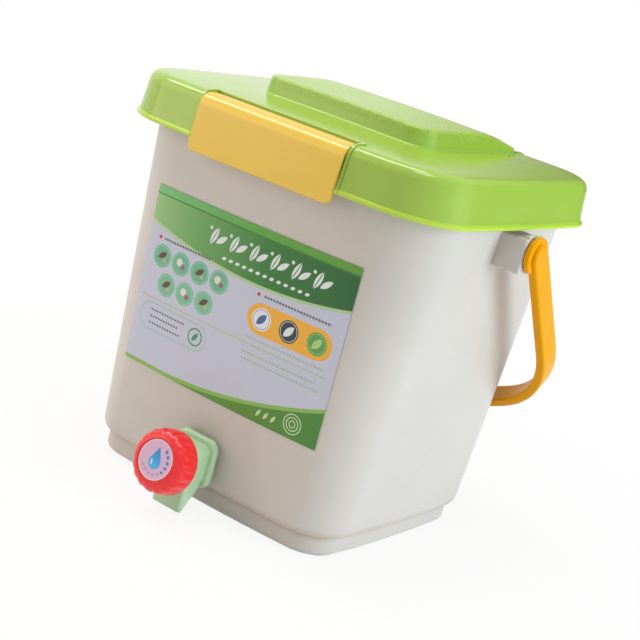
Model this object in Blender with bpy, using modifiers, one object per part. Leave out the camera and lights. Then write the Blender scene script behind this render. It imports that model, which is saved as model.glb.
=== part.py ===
"""A kitchen compost bin with a lift-off lid, two latches, a bail and a drain tap.

Metres, Z up. X is the width, the front with the tap and the label faces -Y.
The origin is the centre of the bucket's flat underside.
"""

import math

import bmesh
import bpy
from mathutils import Matrix

# Bucket: half sizes at the reference level, and how they fall off below it.
REFERENCE_Z = 0.256
BODY_HALF_X = 0.134
BODY_HALF_Y = 0.116
BODY_CORNER = 0.050
BODY_DRAFT_X_DEG = 4.3
BODY_DRAFT_Y_DEG = 2.0
CORNER_TAPER_share = 0.085
BOW_FRONT = 0.0055
BOW_SIDE = 0.0035
WALL = 0.0022
FLOOR_THICKNESS = 0.0025
SHOULDER_Z = 0.026
GROOVE_Z = 0.0150
FOOT_INSET = 0.0065
FOOT_ROUND = 0.0045
RIM_Z = 0.278
RIM_BEAD = 0.0015
RIM_BEAD_HEIGHT = 0.006
RIM_ROUND = 0.0007

# The gap kept between pieces that touch.
SEAT_GAP = 0.0003

# Lid: offsets are measured outwards from the bucket's outline at the reference level.
LIP_Z = 0.256
LIP_OFFSET = 0.0120
LIP_HEIGHT = 0.0034
SKIRT_OFFSET = 0.0102
SKIRT_TOP_OFFSET = 0.0080
LID_EDGE_ROUND = 0.0085
LID_TOP_Z = 0.290
LID_WALL = 0.0022
LID_CORNER_CUT = 0.016
CROWN = 0.0035
PLUG_RIB_OFFSET = -0.0036
PLUG_RIB_WIDTH = 0.0020
PLUG_RIB_Z = 0.2700
SEAL_OFFSET = -0.0016
SEAL_WIDTH = 0.0024
SEAL_HEIGHT = 0.0034
PRESS_MARGIN = 0.0006

# Raised platform on the lid: steep in front, sloping down to the rear.
PLATFORM_HALF_X = 0.075
PLATFORM_FRONT_GAP = 0.0555
PLATFORM_REAR_GAP = 0.0065
PLATFORM_CORNER = 0.0170
PLATFORM_HEIGHT = 0.0130
PLATFORM_DRAFT = 0.0012
PLATFORM_EDGE = 0.0026
PLATFORM_CREST_share = 0.57
PLATFORM_TAIL_share = 0.33
PLATFORM_BOW_share = 0.35

# Latches: two alike, hinged on the lid's front and rear top edges.
LATCH_HALF_X = 0.0634
LATCH_GAP = 0.0006
LATCH_FLAT = 0.0058
LATCH_AXIS_Z = 0.2872
LATCH_BARREL = 0.0024
LATCH_PIN = 0.0012
LATCH_PIN_CLEARANCE = 0.00025
LATCH_PIN_LENGTH = 0.0030
LATCH_SHEET = 0.0024
LATCH_ARC = 0.0104
LATCH_ARC_OFFSET = 0.0002
LATCH_BOTTOM_Z = 0.2480
LATCH_BOTTOM_FLARE = 0.0024
LATCH_CORNER = 0.0045
HOOK_HEIGHT = 0.0030
LEDGE_INSET = 0.0134
LEDGE_REACH = 0.0058
LEDGE_Z = 0.2620
LEDGE_HEIGHT = 0.0030
RECESS_BACK = 0.0034
RECESS_FLOOR_Z = 0.2840
RECESS_FLOOR_SHEET = 0.0017
RECESS_WALL_OFFSET = 0.0045
RECESS_WALL_Z = 0.2660
CHEEK = 0.0050
RIDGE_WIDTH = 0.0020
RIDGE_HEIGHT = 0.0014

# Bail and the bosses that carry it.
BAIL_AXIS_Z = 0.2415
BOSS_HALF_Y = 0.0130
BOSS_BOTTOM_Z = 0.2268
BOSS_TOP_Z = 0.2525
BOSS_BEYOND_LIP = 0.0080
BOSS_ROOT = 0.0010
BOSS_EDGE = 0.0015
BAIL_SIDE_GAP = 0.0006
BAIL_THICKNESS = 0.0080
BAIL_WIDTH = 0.0180
BAIL_ARM_INSET = 0.0546983
BAIL_CORNER = 0.0893
BAIL_TURN_DEG = 56.0
BAIL_EDGE = 0.0020
BAIL_REST_DEG = 39.1
BAIL_EAR = 0.0135
BAIL_PIN = 0.0050
BAIL_PIN_LENGTH = 0.0075
BAIL_PIN_CLEARANCE = 0.0004

# Tap: its axis runs along Y.
TAP_Z = 0.0365
TAP_HOLE = 0.0109
TAP_SEAT_HALF = 0.0165
TAP_SEAT_OUT = 0.0014
TAP_SEAT_IN = 0.0022
WASHER = 0.0015
WASHER_OUTER = 0.0155
SHANK = 0.0105
SHANK_LENGTH = 0.0216
FLANGE_HALF = 0.0185
FLANGE_CORNER = 0.0080
FLANGE_THICKNESS = 0.0060
FLANGE_EDGE = 0.0022
TAP_BLOCK_HALF = 0.0145
TAP_BLOCK_CORNER = 0.0060
TAP_BLOCK_LENGTH = 0.0175
TAP_NECK = 0.0130
TAP_EDGE = 0.0014
TAP_NECK_LENGTH = 0.0093
PLUG_BORE = 0.0083
PLUG = 0.0080
PLUG_PORT = 0.0046
INLET = 0.0058
SPOUT_HALF_X = 0.0140
SPOUT_HALF_Y = 0.0092
SPOUT_BOTTOM_Z = 0.0020
SPOUT_BORE = 0.0058
SPOUT_TAPER_share = 0.97
SPOUT_LIP = 0.0015
SPOUT_SLANT_DEG = 52.0
NUT = 0.0172
NUT_THICKNESS = 0.0080
NUT_BORE = 0.0109
O_RING = 0.00075
O_RING_GROOVE_DEPTH = 0.0016
O_RING_GROOVE_WIDTH = 0.0021
O_RING_BACK = 0.0030
STEM = 0.0050
STEM_LENGTH = 0.0078

KNOB = 0.0235
KNOB_DEPTH = 0.0198
KNOB_REAR_GAP = 0.0050
KNOB_TILT_DEG = 14.5
KNOB_SHELL = 0.0024
KNOB_RIB_DEPTH = 0.0010
KNOB_RIBS = 28
KNOB_SHOULDER = 0.0060
KNOB_FACE = 0.0168
KNOB_HUB = 0.0080
KNOB_HUB_LENGTH = 0.0083
STICKER = 0.0147
STICKER_THICKNESS = 0.0005
STICKER_POCKET = 0.0012
STICKER_SIDE_GAP = 0.0004
SCREW_HEAD = 0.0038
SCREW_HEAD_HEIGHT = 0.0028
SCREW_SHANK = 0.0016
SCREW_LENGTH = 0.0090
SCREW_CLEARANCE = 0.0004

# Drain plate inside the bucket.
PLATE_Z = 0.0580
PLATE_THICKNESS = 0.0025
PLATE_SIDE_GAP = 0.0014
PLATE_HOLE = 0.0030
PLATE_PITCH = 0.0280
PLATE_HOLE_MARGIN = 0.0140
PLATE_CORNER_share = 1.75
LEG = 0.0055
LEG_INSET_X = 0.0400
LEG_INSET_Y = 0.0400
TAB_HALF_X = 0.0150
TAB_HALF_Y = 0.0016
TAB_HEIGHT = 0.0240
TAB_HOLE = 0.0070

# Label on the front wall.
LABEL_HALF_TOP = 0.0940
LABEL_HALF_BOTTOM = 0.0925
LABEL_TOP_Z = 0.2135
LABEL_BOTTOM_Z = 0.0800
LABEL_THICKNESS = 0.0003

# Points this close are made one.
WELD = 0.000005

# How finely curves are cut into facets.
CORNER_STEPS = 6
BAIL_STEPS = 8
BAIL_BOW_STEPS = 4
LABEL_STEPS = 8
LABEL_SIDE_STEPS = 3
LABEL_ROWS = 2
EDGE_STEPS = 4
ROUND_SIDES = 28
SMALL_SIDES = 16
HOLE_SIDES = 8

COLOURS = {
    "bucket": (0.80, 0.76, 0.68),
    "lid": (0.40, 0.66, 0.06),
    "yellow": (0.90, 0.55, 0.04),
    "red": (0.80, 0.02, 0.02),
    "pale_green": (0.42, 0.78, 0.42),
    "rubber": (0.06, 0.06, 0.06),
    "label": (0.45, 0.62, 0.40),
    "sticker": (0.60, 0.62, 0.78),
    "steel": (0.55, 0.55, 0.57),
    "plate": (0.62, 0.66, 0.62),
}


def clear_scene():
    for item in list(bpy.data.objects):
        bpy.data.objects.remove(item, do_unlink=True)


def new_collection(name):
    collection = bpy.data.collections.new(name)
    bpy.context.scene.collection.children.link(collection)
    return collection


clear_scene()
PARTS = new_collection("compost_bin")
CUTTERS = new_collection("cutters")
CUTTERS.hide_render = True


def material(name, kind):
    made = bpy.data.materials.new(name)
    made.use_nodes = True
    shader = made.node_tree.nodes["Principled BSDF"]
    shader.inputs["Base Color"].default_value = (*COLOURS[kind], 1.0)
    shader.inputs["Metallic"].default_value = 1.0 if kind == "steel" else 0.0
    shader.inputs["Roughness"].default_value = 0.35
    return made


def add_object(name, mesh, kind=None):
    made = bpy.data.objects.new(name, mesh)
    if kind is None:
        CUTTERS.objects.link(made)
        made.hide_render = True
        made.display_type = "WIRE"
    else:
        PARTS.objects.link(made)
        made.data.materials.append(material(name + "_material", kind))
    return made


def mesh_from(name, points, faces):
    mesh = bpy.data.meshes.new(name)
    mesh.from_pydata(points, [], faces)
    work = bmesh.new()
    work.from_mesh(mesh)
    bmesh.ops.recalc_face_normals(work, faces=work.faces)
    work.to_mesh(mesh)
    work.free()
    return mesh


def loft(name, rings, kind=None, closed=False):
    """A body through rings of equal length. Closed joins the last ring to the first."""
    count = len(rings[0])
    points = [point for ring in rings for point in ring]
    faces = []
    steps = len(rings) if closed else len(rings) - 1
    for k in range(steps):
        low, high = k * count, ((k + 1) % len(rings)) * count
        for i in range(count):
            j = (i + 1) % count
            faces.append((low + i, low + j, high + j, high + i))
    if not closed:
        faces.append(tuple(range(count)))
        faces.append(tuple(range((len(rings) - 1) * count, len(rings) * count)))
    return add_object(name, mesh_from(name, points, faces), kind)


# Where each axis's outline lies: its own X and Y, and the way it is extruded.
AXIS_FRAMES = {
    "x": Matrix(((0, 0, 1, 0), (1, 0, 0, 0), (0, 1, 0, 0), (0, 0, 0, 1))),
    "y": Matrix(((1, 0, 0, 0), (0, 0, -1, 0), (0, 1, 0, 0), (0, 0, 0, 1))),
    "z": Matrix.Identity(4),
}


def curve_as_mesh(guide):
    """The curve's mesh with its caps welded on; the curve itself is removed."""
    bpy.context.scene.collection.objects.link(guide)
    graph = bpy.context.evaluated_depsgraph_get()
    mesh = bpy.data.meshes.new_from_object(guide.evaluated_get(graph))
    work = bmesh.new()
    work.from_mesh(mesh)
    bmesh.ops.remove_doubles(work, verts=work.verts, dist=WELD)
    bmesh.ops.recalc_face_normals(work, faces=work.faces)
    work.to_mesh(mesh)
    work.free()
    bpy.data.objects.remove(guide, do_unlink=True)
    return mesh


def poly_curve(name, points, closed):
    curve = bpy.data.curves.new(name, "CURVE")
    spline = curve.splines.new("POLY")
    spline.points.add(len(points) - 1)
    for slot, (u, v) in zip(spline.points, points):
        slot.co = (u, v, 0.0, 1.0)
    spline.use_cyclic_u = closed
    return curve


def extruded(name, points, axis, low, high, kind=None):
    """A flat outline carried along one axis. The outline gives the other two in order."""
    curve = poly_curve(name, points, True)
    curve.dimensions = "2D"
    curve.fill_mode = "BOTH"
    curve.extrude = (high - low) / 2
    mesh = curve_as_mesh(bpy.data.objects.new(name, curve))
    middle = (low + high) / 2
    place = {"x": (middle, 0, 0), "y": (0, middle, 0), "z": (0, 0, middle)}[axis]
    mesh.transform(Matrix.Translation(place) @ AXIS_FRAMES[axis])
    return add_object(name, mesh, kind)


def circle(radius, sides, centre=(0.0, 0.0)):
    turn = 2 * math.pi / sides
    return [
        (centre[0] + radius * math.cos(turn * i), centre[1] + radius * math.sin(turn * i))
        for i in range(sides)
    ]


def rounded_rectangle(half_u, half_v, corner, centre=(0.0, 0.0), steps=4):
    points = []
    for quarter, (su, sv) in enumerate(((1, 1), (-1, 1), (-1, -1), (1, -1))):
        for i in range(steps + 1):
            angle = (quarter + i / steps) * math.pi / 2
            u = su * (half_u - corner) + corner * math.cos(angle)
            v = sv * (half_v - corner) + corner * math.sin(angle)
            points.append((centre[0] + u, centre[1] + v))
    return points


def rods(name, axis, radius, low, high, centres, sides=ROUND_SIDES, kind=None):
    """Parallel cylinders, one at each centre."""
    work = bmesh.new()
    middle = (low + high) / 2
    for u, v in centres:
        place = {"x": (middle, u, v), "y": (u, middle, v), "z": (u, v, middle)}[axis]
        bmesh.ops.create_cone(
            work,
            cap_ends=True,
            segments=sides,
            radius1=radius,
            radius2=radius,
            depth=high - low,
            matrix=Matrix.Translation(place) @ AXIS_FRAMES[axis],
        )
    mesh = bpy.data.meshes.new(name)
    work.to_mesh(mesh)
    work.free()
    return add_object(name, mesh, kind)


def rod(name, axis, radius, low, high, centre, sides=ROUND_SIDES, kind=None):
    return rods(name, axis, radius, low, high, [centre], sides, kind)


def turned(name, profile, sides, kind=None, closed=False):
    """A solid turned about the tap's axis from (radius, y) pairs, front to back."""
    origin_y = profile[0][1]
    mesh = bpy.data.meshes.new(name)
    points = [(radius, 0.0, origin_y - y) for radius, y in profile]
    edges = [(i, i + 1) for i in range(len(points) - 1)]
    if closed:
        edges.append((len(points) - 1, 0))
    mesh.from_pydata(points, edges, [])
    made = add_object(name, mesh, kind)
    screw = made.modifiers.new("turn", "SCREW")
    screw.steps = sides
    screw.render_steps = sides
    screw.use_merge_vertices = True
    screw.merge_threshold = WELD
    made.location = (0.0, origin_y, TAP_Z)
    made.rotation_euler = (math.pi / 2, 0.0, 0.0)
    return made


def box(name, low, high, kind=None, edge=0.0):
    size = [b - a for a, b in zip(low, high)]
    middle = [(a + b) / 2 for a, b in zip(low, high)]
    work = bmesh.new()
    place = Matrix.Translation(middle) @ Matrix.Diagonal((*size, 1.0))
    bmesh.ops.create_cube(work, size=1.0, matrix=place)
    mesh = bpy.data.meshes.new(name)
    work.to_mesh(mesh)
    work.free()
    made = add_object(name, mesh, kind)
    if edge:
        bevel(made, edge)
    return made


def bevel(made, width, segments=2):
    modifier = made.modifiers.new("edges", "BEVEL")
    modifier.width = width
    modifier.segments = segments
    modifier.limit_method = "ANGLE"
    modifier.angle_limit = math.radians(40)


def combine(target, other, operation):
    modifier = target.modifiers.new(operation.lower() + "_" + other.name, "BOOLEAN")
    modifier.operation = operation
    modifier.object = other
    modifier.solver = "EXACT"


def join(target, *others):
    for other in others:
        combine(target, other, "UNION")


def cut(target, *others):
    for other in others:
        combine(target, other, "DIFFERENCE")


def outline(half_x, half_y, corner, centre_y=0.0, bow=1.0):
    """A rounded rectangle whose four sides bow outwards, as (x, y) pairs."""
    points = []
    for quarter, (sx, sy) in enumerate(((1, 1), (-1, 1), (-1, -1), (1, -1))):
        arc = []
        for i in range(CORNER_STEPS + 1):
            angle = (quarter + i / CORNER_STEPS) * math.pi / 2
            x = sx * (half_x - corner) + corner * math.cos(angle)
            y = sy * (half_y - corner) + corner * math.sin(angle)
            arc.append((x, y))
        points.extend(arc)
        nx, ny = ((-1, 1), (-1, -1), (1, -1), (1, 1))[quarter]
        turn = (quarter + 1) * math.pi / 2
        end_x = nx * (half_x - corner) + corner * math.cos(turn)
        end_y = ny * (half_y - corner) + corner * math.sin(turn)
        for i in range(1, EDGE_STEPS):
            t = i / EDGE_STEPS
            x = arc[-1][0] + t * (end_x - arc[-1][0])
            y = arc[-1][1] + t * (end_y - arc[-1][1])
            points.append((x, y))
    return [bowed(x, y, half_x, half_y, centre_y, bow) for x, y in points]


def bowed(x, y, half_x, half_y, centre_y=0.0, bow=1.0):
    in_x = bow * BOW_SIDE * (y / half_y) ** 2 * (x / half_x) ** 2
    in_y = bow * BOW_FRONT * (x / half_x) ** 2 * (y / half_y) ** 2
    new_x = x - math.copysign(in_x, x)
    new_y = y - math.copysign(in_y, y)
    return new_x, new_y + centre_y


def lifted(points, level):
    """Turns (x, y) pairs into points; the level is a number or a function of x and y."""
    if callable(level):
        return [(x, y, level(x, y)) for x, y in points]
    return [(x, y, level) for x, y in points]


def body_sizes(z, offset=0.0):
    """Half width, half depth and corner radius of the bucket's outside at this level."""
    below = REFERENCE_Z - max(z, SHOULDER_Z)
    half_x = BODY_HALF_X - below * math.tan(math.radians(BODY_DRAFT_X_DEG)) + offset
    half_y = BODY_HALF_Y - below * math.tan(math.radians(BODY_DRAFT_Y_DEG)) + offset
    corner = BODY_CORNER - below * CORNER_TAPER_share + offset
    return half_x, half_y, corner


def body_ring(z, offset=0.0):
    return lifted(outline(*body_sizes(z, offset)), z)


def wall_y(z, offset=0.0):
    """How far the front wall's outside is from the middle, at x = 0."""
    return body_sizes(z, offset)[1]


def bucket_rings():
    foot = -FOOT_INSET
    drop = SHOULDER_Z - GROOVE_Z
    rings = [
        body_ring(0.0, foot - FOOT_ROUND * 0.8),
        body_ring(FOOT_ROUND * 0.3, foot - FOOT_ROUND * 0.25),
        body_ring(FOOT_ROUND, foot),
        body_ring(GROOVE_Z, foot),
        body_ring(GROOVE_Z + drop * 0.10, foot * 0.62),
        body_ring(GROOVE_Z + drop * 0.35, foot * 0.26),
        body_ring(GROOVE_Z + drop * 0.65, foot * 0.06),
        body_ring(SHOULDER_Z, 0.0),
        body_ring(RIM_Z - RIM_BEAD_HEIGHT, 0.0),
        body_ring(RIM_Z - RIM_BEAD_HEIGHT + RIM_BEAD, RIM_BEAD),
        body_ring(RIM_Z - RIM_ROUND, RIM_BEAD),
        body_ring(RIM_Z, RIM_BEAD - RIM_ROUND),
        body_ring(RIM_Z, RIM_ROUND - WALL),
        body_ring(RIM_Z - RIM_ROUND, -WALL),
        body_ring(SHOULDER_Z, -WALL),
        body_ring(GROOVE_Z + drop * 0.65, foot * 0.12 - WALL),
        body_ring(GROOVE_Z + drop * 0.35, foot * 0.42 - WALL),
        body_ring(GROOVE_Z + drop * 0.20, foot - WALL),
        body_ring(FLOOR_THICKNESS + FOOT_ROUND, foot - WALL),
        body_ring(FLOOR_THICKNESS + FOOT_ROUND * 0.3, foot - WALL - FOOT_ROUND * 0.3),
        body_ring(FLOOR_THICKNESS, foot - WALL - FOOT_ROUND),
    ]
    return rings


TAP_WALL_Y = wall_y(TAP_Z)
TAP_OUTER_SEAT = -(TAP_WALL_Y + TAP_SEAT_OUT)
TAP_INNER_SEAT = -(TAP_WALL_Y - WALL - TAP_SEAT_IN)
LEDGE_Y = wall_y(LEDGE_Z) + LEDGE_REACH
LEDGE_HALF_X = LATCH_HALF_X - LEDGE_INSET
BOSS_OUTER_X = BODY_HALF_X + LIP_OFFSET + BOSS_BEYOND_LIP


def make_bucket():
    bucket = loft("bucket", bucket_rings(), "bucket")
    tap_seat = extruded(
        "tap_seat",
        rounded_rectangle(TAP_SEAT_HALF, TAP_SEAT_HALF, TAP_BLOCK_CORNER, (0.0, TAP_Z)),
        "y",
        TAP_OUTER_SEAT,
        TAP_INNER_SEAT,
    )
    join(bucket, tap_seat)
    cut(bucket, rod("tap_hole", "y", TAP_HOLE, -BODY_HALF_Y, -BODY_HALF_Y / 2, (0.0, TAP_Z)))
    for side, word in ((-1, "left"), (1, "right")):
        root = body_sizes(BOSS_BOTTOM_Z)[0] - WALL + BOSS_ROOT
        ends = sorted((side * root, side * BOSS_OUTER_X))
        boss = box(
            "boss_" + word,
            (ends[0], -BOSS_HALF_Y, BOSS_BOTTOM_Z),
            (ends[1], BOSS_HALF_Y, BOSS_TOP_Z),
            edge=BOSS_EDGE,
        )
        join(bucket, boss)
        bottom = BOSS_OUTER_X - BAIL_PIN_LENGTH - BAIL_PIN_CLEARANCE
        ends = sorted((side * bottom, side * (BOSS_OUTER_X + BOSS_EDGE)))
        radius = BAIL_PIN + BAIL_PIN_CLEARANCE
        hole = rod("pin_hole_" + word, "x", radius, *ends, (0.0, BAIL_AXIS_Z), SMALL_SIDES)
        cut(bucket, hole)
    for side, word in ((-1, "front"), (1, "rear")):
        root = wall_y(LEDGE_Z) - WALL / 2 - BOSS_ROOT / 2
        ends = sorted((side * root, side * LEDGE_Y))
        ledge = box(
            "ledge_" + word,
            (-LEDGE_HALF_X, ends[0], LEDGE_Z),
            (LEDGE_HALF_X, ends[1], LEDGE_Z + LEDGE_HEIGHT),
        )
        join(bucket, ledge)


def lid_sizes(offset):
    half_x = BODY_HALF_X + offset
    half_y = BODY_HALF_Y + offset
    corner = BODY_CORNER + offset - LID_CORNER_CUT
    return half_x, half_y, corner


def lid_ring(level, offset):
    return lifted(outline(*lid_sizes(offset)), level)


def rim_ring(level, offset):
    """A ring of the outline at the bucket's rim, where the lid plugs in and seals."""
    return lifted(outline(*body_sizes(RIM_Z, offset)), level)


LATCH_ARC_Y = BODY_HALF_Y + LATCH_ARC_OFFSET
LATCH_AXIS_Y = LATCH_ARC_Y - LATCH_FLAT
RECESS_WALL_Y = BODY_HALF_Y + RECESS_WALL_OFFSET
PLATFORM_LIMIT_Y = LATCH_AXIS_Y - RECESS_BACK - RIDGE_WIDTH
PLATFORM_FRONT_Y = PLATFORM_FRONT_GAP - PLATFORM_LIMIT_Y
PLATFORM_REAR_Y = PLATFORM_LIMIT_Y - PLATFORM_REAR_GAP
PLATFORM_CENTRE_Y = (PLATFORM_FRONT_Y + PLATFORM_REAR_Y) / 2
PLATFORM_HALF_Y = (PLATFORM_REAR_Y - PLATFORM_FRONT_Y) / 2
EDGE_CENTRE_OFFSET = SKIRT_TOP_OFFSET - LID_EDGE_ROUND
EDGE_CENTRE_Z = LID_TOP_Z - LID_EDGE_ROUND


def crown(x, y):
    half_x, half_y, _ = lid_sizes(EDGE_CENTRE_OFFSET)
    across = max(0.0, 1 - (x / half_x) ** 2)
    along = max(0.0, 1 - (y / half_y) ** 2)
    return CROWN * across * along


def lid_floor(x, y):
    return LID_TOP_Z + crown(x, y)


def platform_rise(y):
    """Height of the platform over the floor: full in front, falling to the rear."""
    share = (y - PLATFORM_FRONT_Y) / (PLATFORM_REAR_Y - PLATFORM_FRONT_Y)
    t = (share - PLATFORM_CREST_share) / (1 - PLATFORM_CREST_share)
    t = min(1.0, max(0.0, t))
    fall = t * t * (3 - 2 * t) * (1 - PLATFORM_TAIL_share)
    return PLATFORM_HEIGHT * (1 - fall)


def platform_outline(half_x, half_y, corner):
    return outline(half_x, half_y, corner, PLATFORM_CENTRE_Y, PLATFORM_BOW_share)


def platform_ring(inset, rise_share, drop, thickness=0.0):
    """A ring of the platform; its level is a share of the rise, less a drop."""
    corner = max(PLATFORM_CORNER - inset, PLATFORM_CORNER / 4)
    points = platform_outline(PLATFORM_HALF_X - inset, PLATFORM_HALF_Y - inset, corner)

    def level(x, y):
        rise = platform_rise(y)
        share = rise / PLATFORM_HEIGHT
        return lid_floor(x, y) + rise * rise_share - drop * share - thickness

    return lifted(points, level)


def shrunk_ring(share, thickness):
    inset = PLATFORM_EDGE * 2
    half_x = (PLATFORM_HALF_X - inset) * share
    half_y = (PLATFORM_HALF_Y - inset) * share
    points = platform_outline(half_x, half_y, min(half_x, half_y) * 0.4)
    return lifted(points, lambda x, y: lid_floor(x, y) + platform_rise(y) - thickness)


def floor_ring(share, thickness=0.0):
    """A ring on the lid's floor, between its rounded edge and the platform."""
    outer = outline(*lid_sizes(EDGE_CENTRE_OFFSET))
    inset = -PLATFORM_DRAFT - PLATFORM_EDGE / 2
    corner = PLATFORM_CORNER - inset
    inner = platform_outline(PLATFORM_HALF_X - inset, PLATFORM_HALF_Y - inset, corner)
    points = [
        (a[0] + share * (b[0] - a[0]), a[1] + share * (b[1] - a[1])) for a, b in zip(outer, inner)
    ]
    return lifted(points, lambda x, y: lid_floor(x, y) - thickness)


def edge_arc(radius, steps=4):
    """(offset, z) of the lid's rounded top edge, from the skirt up to the floor."""
    found = []
    for i in range(steps + 1):
        angle = i / steps * math.pi / 2
        offset = EDGE_CENTRE_OFFSET + radius * math.cos(angle)
        found.append((offset, EDGE_CENTRE_Z + radius * math.sin(angle)))
    return found


def lid_outer_rings():
    rings = [
        lid_ring(LIP_Z, LIP_OFFSET - LIP_HEIGHT * 0.4),
        lid_ring(LIP_Z + LIP_HEIGHT * 0.25, LIP_OFFSET),
        lid_ring(LIP_Z + LIP_HEIGHT * 0.65, LIP_OFFSET),
        lid_ring(LIP_Z + LIP_HEIGHT, SKIRT_OFFSET + LIP_HEIGHT * 0.15),
        lid_ring(LIP_Z + LIP_HEIGHT * 1.4, SKIRT_OFFSET),
    ]
    rings += [lid_ring(z, offset) for offset, z in edge_arc(LID_EDGE_ROUND)[:-1]]
    rings += [floor_ring(share) for share in (0.0, 0.35, 0.7, 1.0)]
    rings += [
        platform_ring(-PLATFORM_DRAFT, 0.12, 0.0),
        platform_ring(0.0, 1.0, PLATFORM_EDGE),
        platform_ring(PLATFORM_EDGE * 0.3, 1.0, PLATFORM_EDGE * 0.3),
        platform_ring(PLATFORM_EDGE, 1.0, 0.0),
    ]
    return rings + [shrunk_ring(share, 0.0) for share in (0.86, 0.62, 0.36, 0.1)]


SEAL_BOTTOM_Z = RIM_Z + SEAT_GAP
PRESS_Z = SEAL_BOTTOM_Z + SEAL_HEIGHT + SEAT_GAP


def lid_inner_rings():
    wall = LID_WALL
    rings = [shrunk_ring(share, wall) for share in (0.1, 0.36, 0.62, 0.86)]
    rings += [
        platform_ring(PLATFORM_EDGE + wall * 0.8, 1.0, 0.0, wall),
        platform_ring(wall, 1.0, PLATFORM_EDGE * 0.7, wall),
        platform_ring(wall - PLATFORM_DRAFT, 0.0, 0.0, wall),
        floor_ring(0.95, wall),
        floor_ring(0.35, wall),
    ]
    press_in = SEAL_OFFSET - PRESS_MARGIN
    press_out = SEAL_OFFSET + SEAL_WIDTH + PRESS_MARGIN
    rib_in = PLUG_RIB_OFFSET - PLUG_RIB_WIDTH
    under = LID_TOP_Z - wall
    arc_radius = LID_EDGE_ROUND - wall
    reach = body_sizes(RIM_Z, press_out)[0] - lid_sizes(EDGE_CENTRE_OFFSET)[0]
    press_top = EDGE_CENTRE_Z + math.sqrt(arc_radius**2 - reach**2) - SEAT_GAP
    rings += [
        rim_ring(under, rib_in),
        rim_ring(PLUG_RIB_Z, rib_in),
        rim_ring(PLUG_RIB_Z, PLUG_RIB_OFFSET),
        rim_ring(under, PLUG_RIB_OFFSET),
        rim_ring(under, press_in),
        rim_ring(PRESS_Z, press_in),
        rim_ring(PRESS_Z, press_out),
        rim_ring(press_top, press_out),
        lid_ring(EDGE_CENTRE_Z + arc_radius * 0.5, EDGE_CENTRE_OFFSET + arc_radius * 0.866),
        lid_ring(EDGE_CENTRE_Z, EDGE_CENTRE_OFFSET + arc_radius),
        lid_ring(LIP_Z + LIP_HEIGHT, SKIRT_OFFSET - wall),
        lid_ring(LIP_Z, SKIRT_OFFSET - wall + LIP_HEIGHT * 0.1),
    ]
    return rings


RECESS_HALF_X = LATCH_HALF_X + LATCH_GAP
RECESS_BACK_Y = LATCH_AXIS_Y - RECESS_BACK
LATCH_ARC_Z = LATCH_AXIS_Z + LATCH_BARREL - LATCH_ARC
ABOVE_LID_Z = LID_TOP_Z + PLATFORM_HEIGHT * 2
BEYOND_Y = BODY_HALF_Y + LIP_OFFSET * 3


def mirrored(points, side):
    return [(side * y, z) for y, z in points]


def recess_block(side, word):
    """The material round a latch recess, trimmed to the lid's outside."""
    sheet = RECESS_FLOOR_SHEET
    profile = [
        (RECESS_BACK_Y - sheet, RECESS_FLOOR_Z - sheet),
        (RECESS_BACK_Y - sheet, ABOVE_LID_Z),
        (BEYOND_Y, ABOVE_LID_Z),
        (BEYOND_Y, LIP_Z + LIP_HEIGHT),
        (RECESS_WALL_Y - sheet, LIP_Z + LIP_HEIGHT * 3),
        (RECESS_WALL_Y - sheet, RECESS_FLOOR_Z - sheet),
    ]
    half = RECESS_HALF_X + CHEEK
    block = extruded("recess_block_" + word, mirrored(profile, side), "x", -half, half)
    combine(block, bpy.data.objects["lid_filled"], "INTERSECT")
    return block


def recess_cutter(side, word):
    profile = [
        (RECESS_BACK_Y, RECESS_FLOOR_Z),
        (RECESS_BACK_Y, ABOVE_LID_Z),
        (BEYOND_Y, ABOVE_LID_Z),
        (BEYOND_Y, LIP_Z - LIP_HEIGHT),
        (RECESS_WALL_Y, LIP_Z - LIP_HEIGHT),
        (RECESS_WALL_Y, RECESS_FLOOR_Z),
    ]
    half = RECESS_HALF_X
    return extruded("recess_cutter_" + word, mirrored(profile, side), "x", -half, half)


def lower_cutter(side, word):
    """Opens the recess below its wall, so that the latch's hook reaches under the ledge."""
    profile = [
        (RECESS_WALL_Y - RECESS_FLOOR_SHEET * 2, LIP_Z - LIP_HEIGHT),
        (BEYOND_Y, LIP_Z - LIP_HEIGHT),
        (BEYOND_Y, RECESS_WALL_Z),
        (RECESS_WALL_Y - RECESS_FLOOR_SHEET * 2, RECESS_WALL_Z),
    ]
    half = RECESS_HALF_X
    return extruded("lower_cutter_" + word, mirrored(profile, side), "x", -half, half)


def ridge(side, word):
    ends = sorted((side * (RECESS_BACK_Y - RIDGE_WIDTH), side * RECESS_BACK_Y))
    return box(
        "ridge_" + word,
        (-RECESS_HALF_X - RIDGE_WIDTH, ends[0], LID_TOP_Z - LID_WALL / 2),
        (RECESS_HALF_X + RIDGE_WIDTH, ends[1], LID_TOP_Z + RIDGE_HEIGHT),
    )


def make_lid():
    lid = loft("lid", lid_inner_rings() + lid_outer_rings(), "lid")
    loft("lid_filled", lid_outer_rings())
    for side, word in ((-1, "front"), (1, "rear")):
        join(lid, recess_block(side, word))
        cut(lid, recess_cutter(side, word), lower_cutter(side, word))
        join(lid, ridge(side, word))
        reach = RECESS_HALF_X + LATCH_PIN_LENGTH
        centre = (side * LATCH_AXIS_Y, LATCH_AXIS_Z)
        radius = LATCH_PIN + LATCH_PIN_CLEARANCE
        cut(lid, rod("latch_pin_hole_" + word, "x", radius, -reach, reach, centre, SMALL_SIDES))


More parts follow.
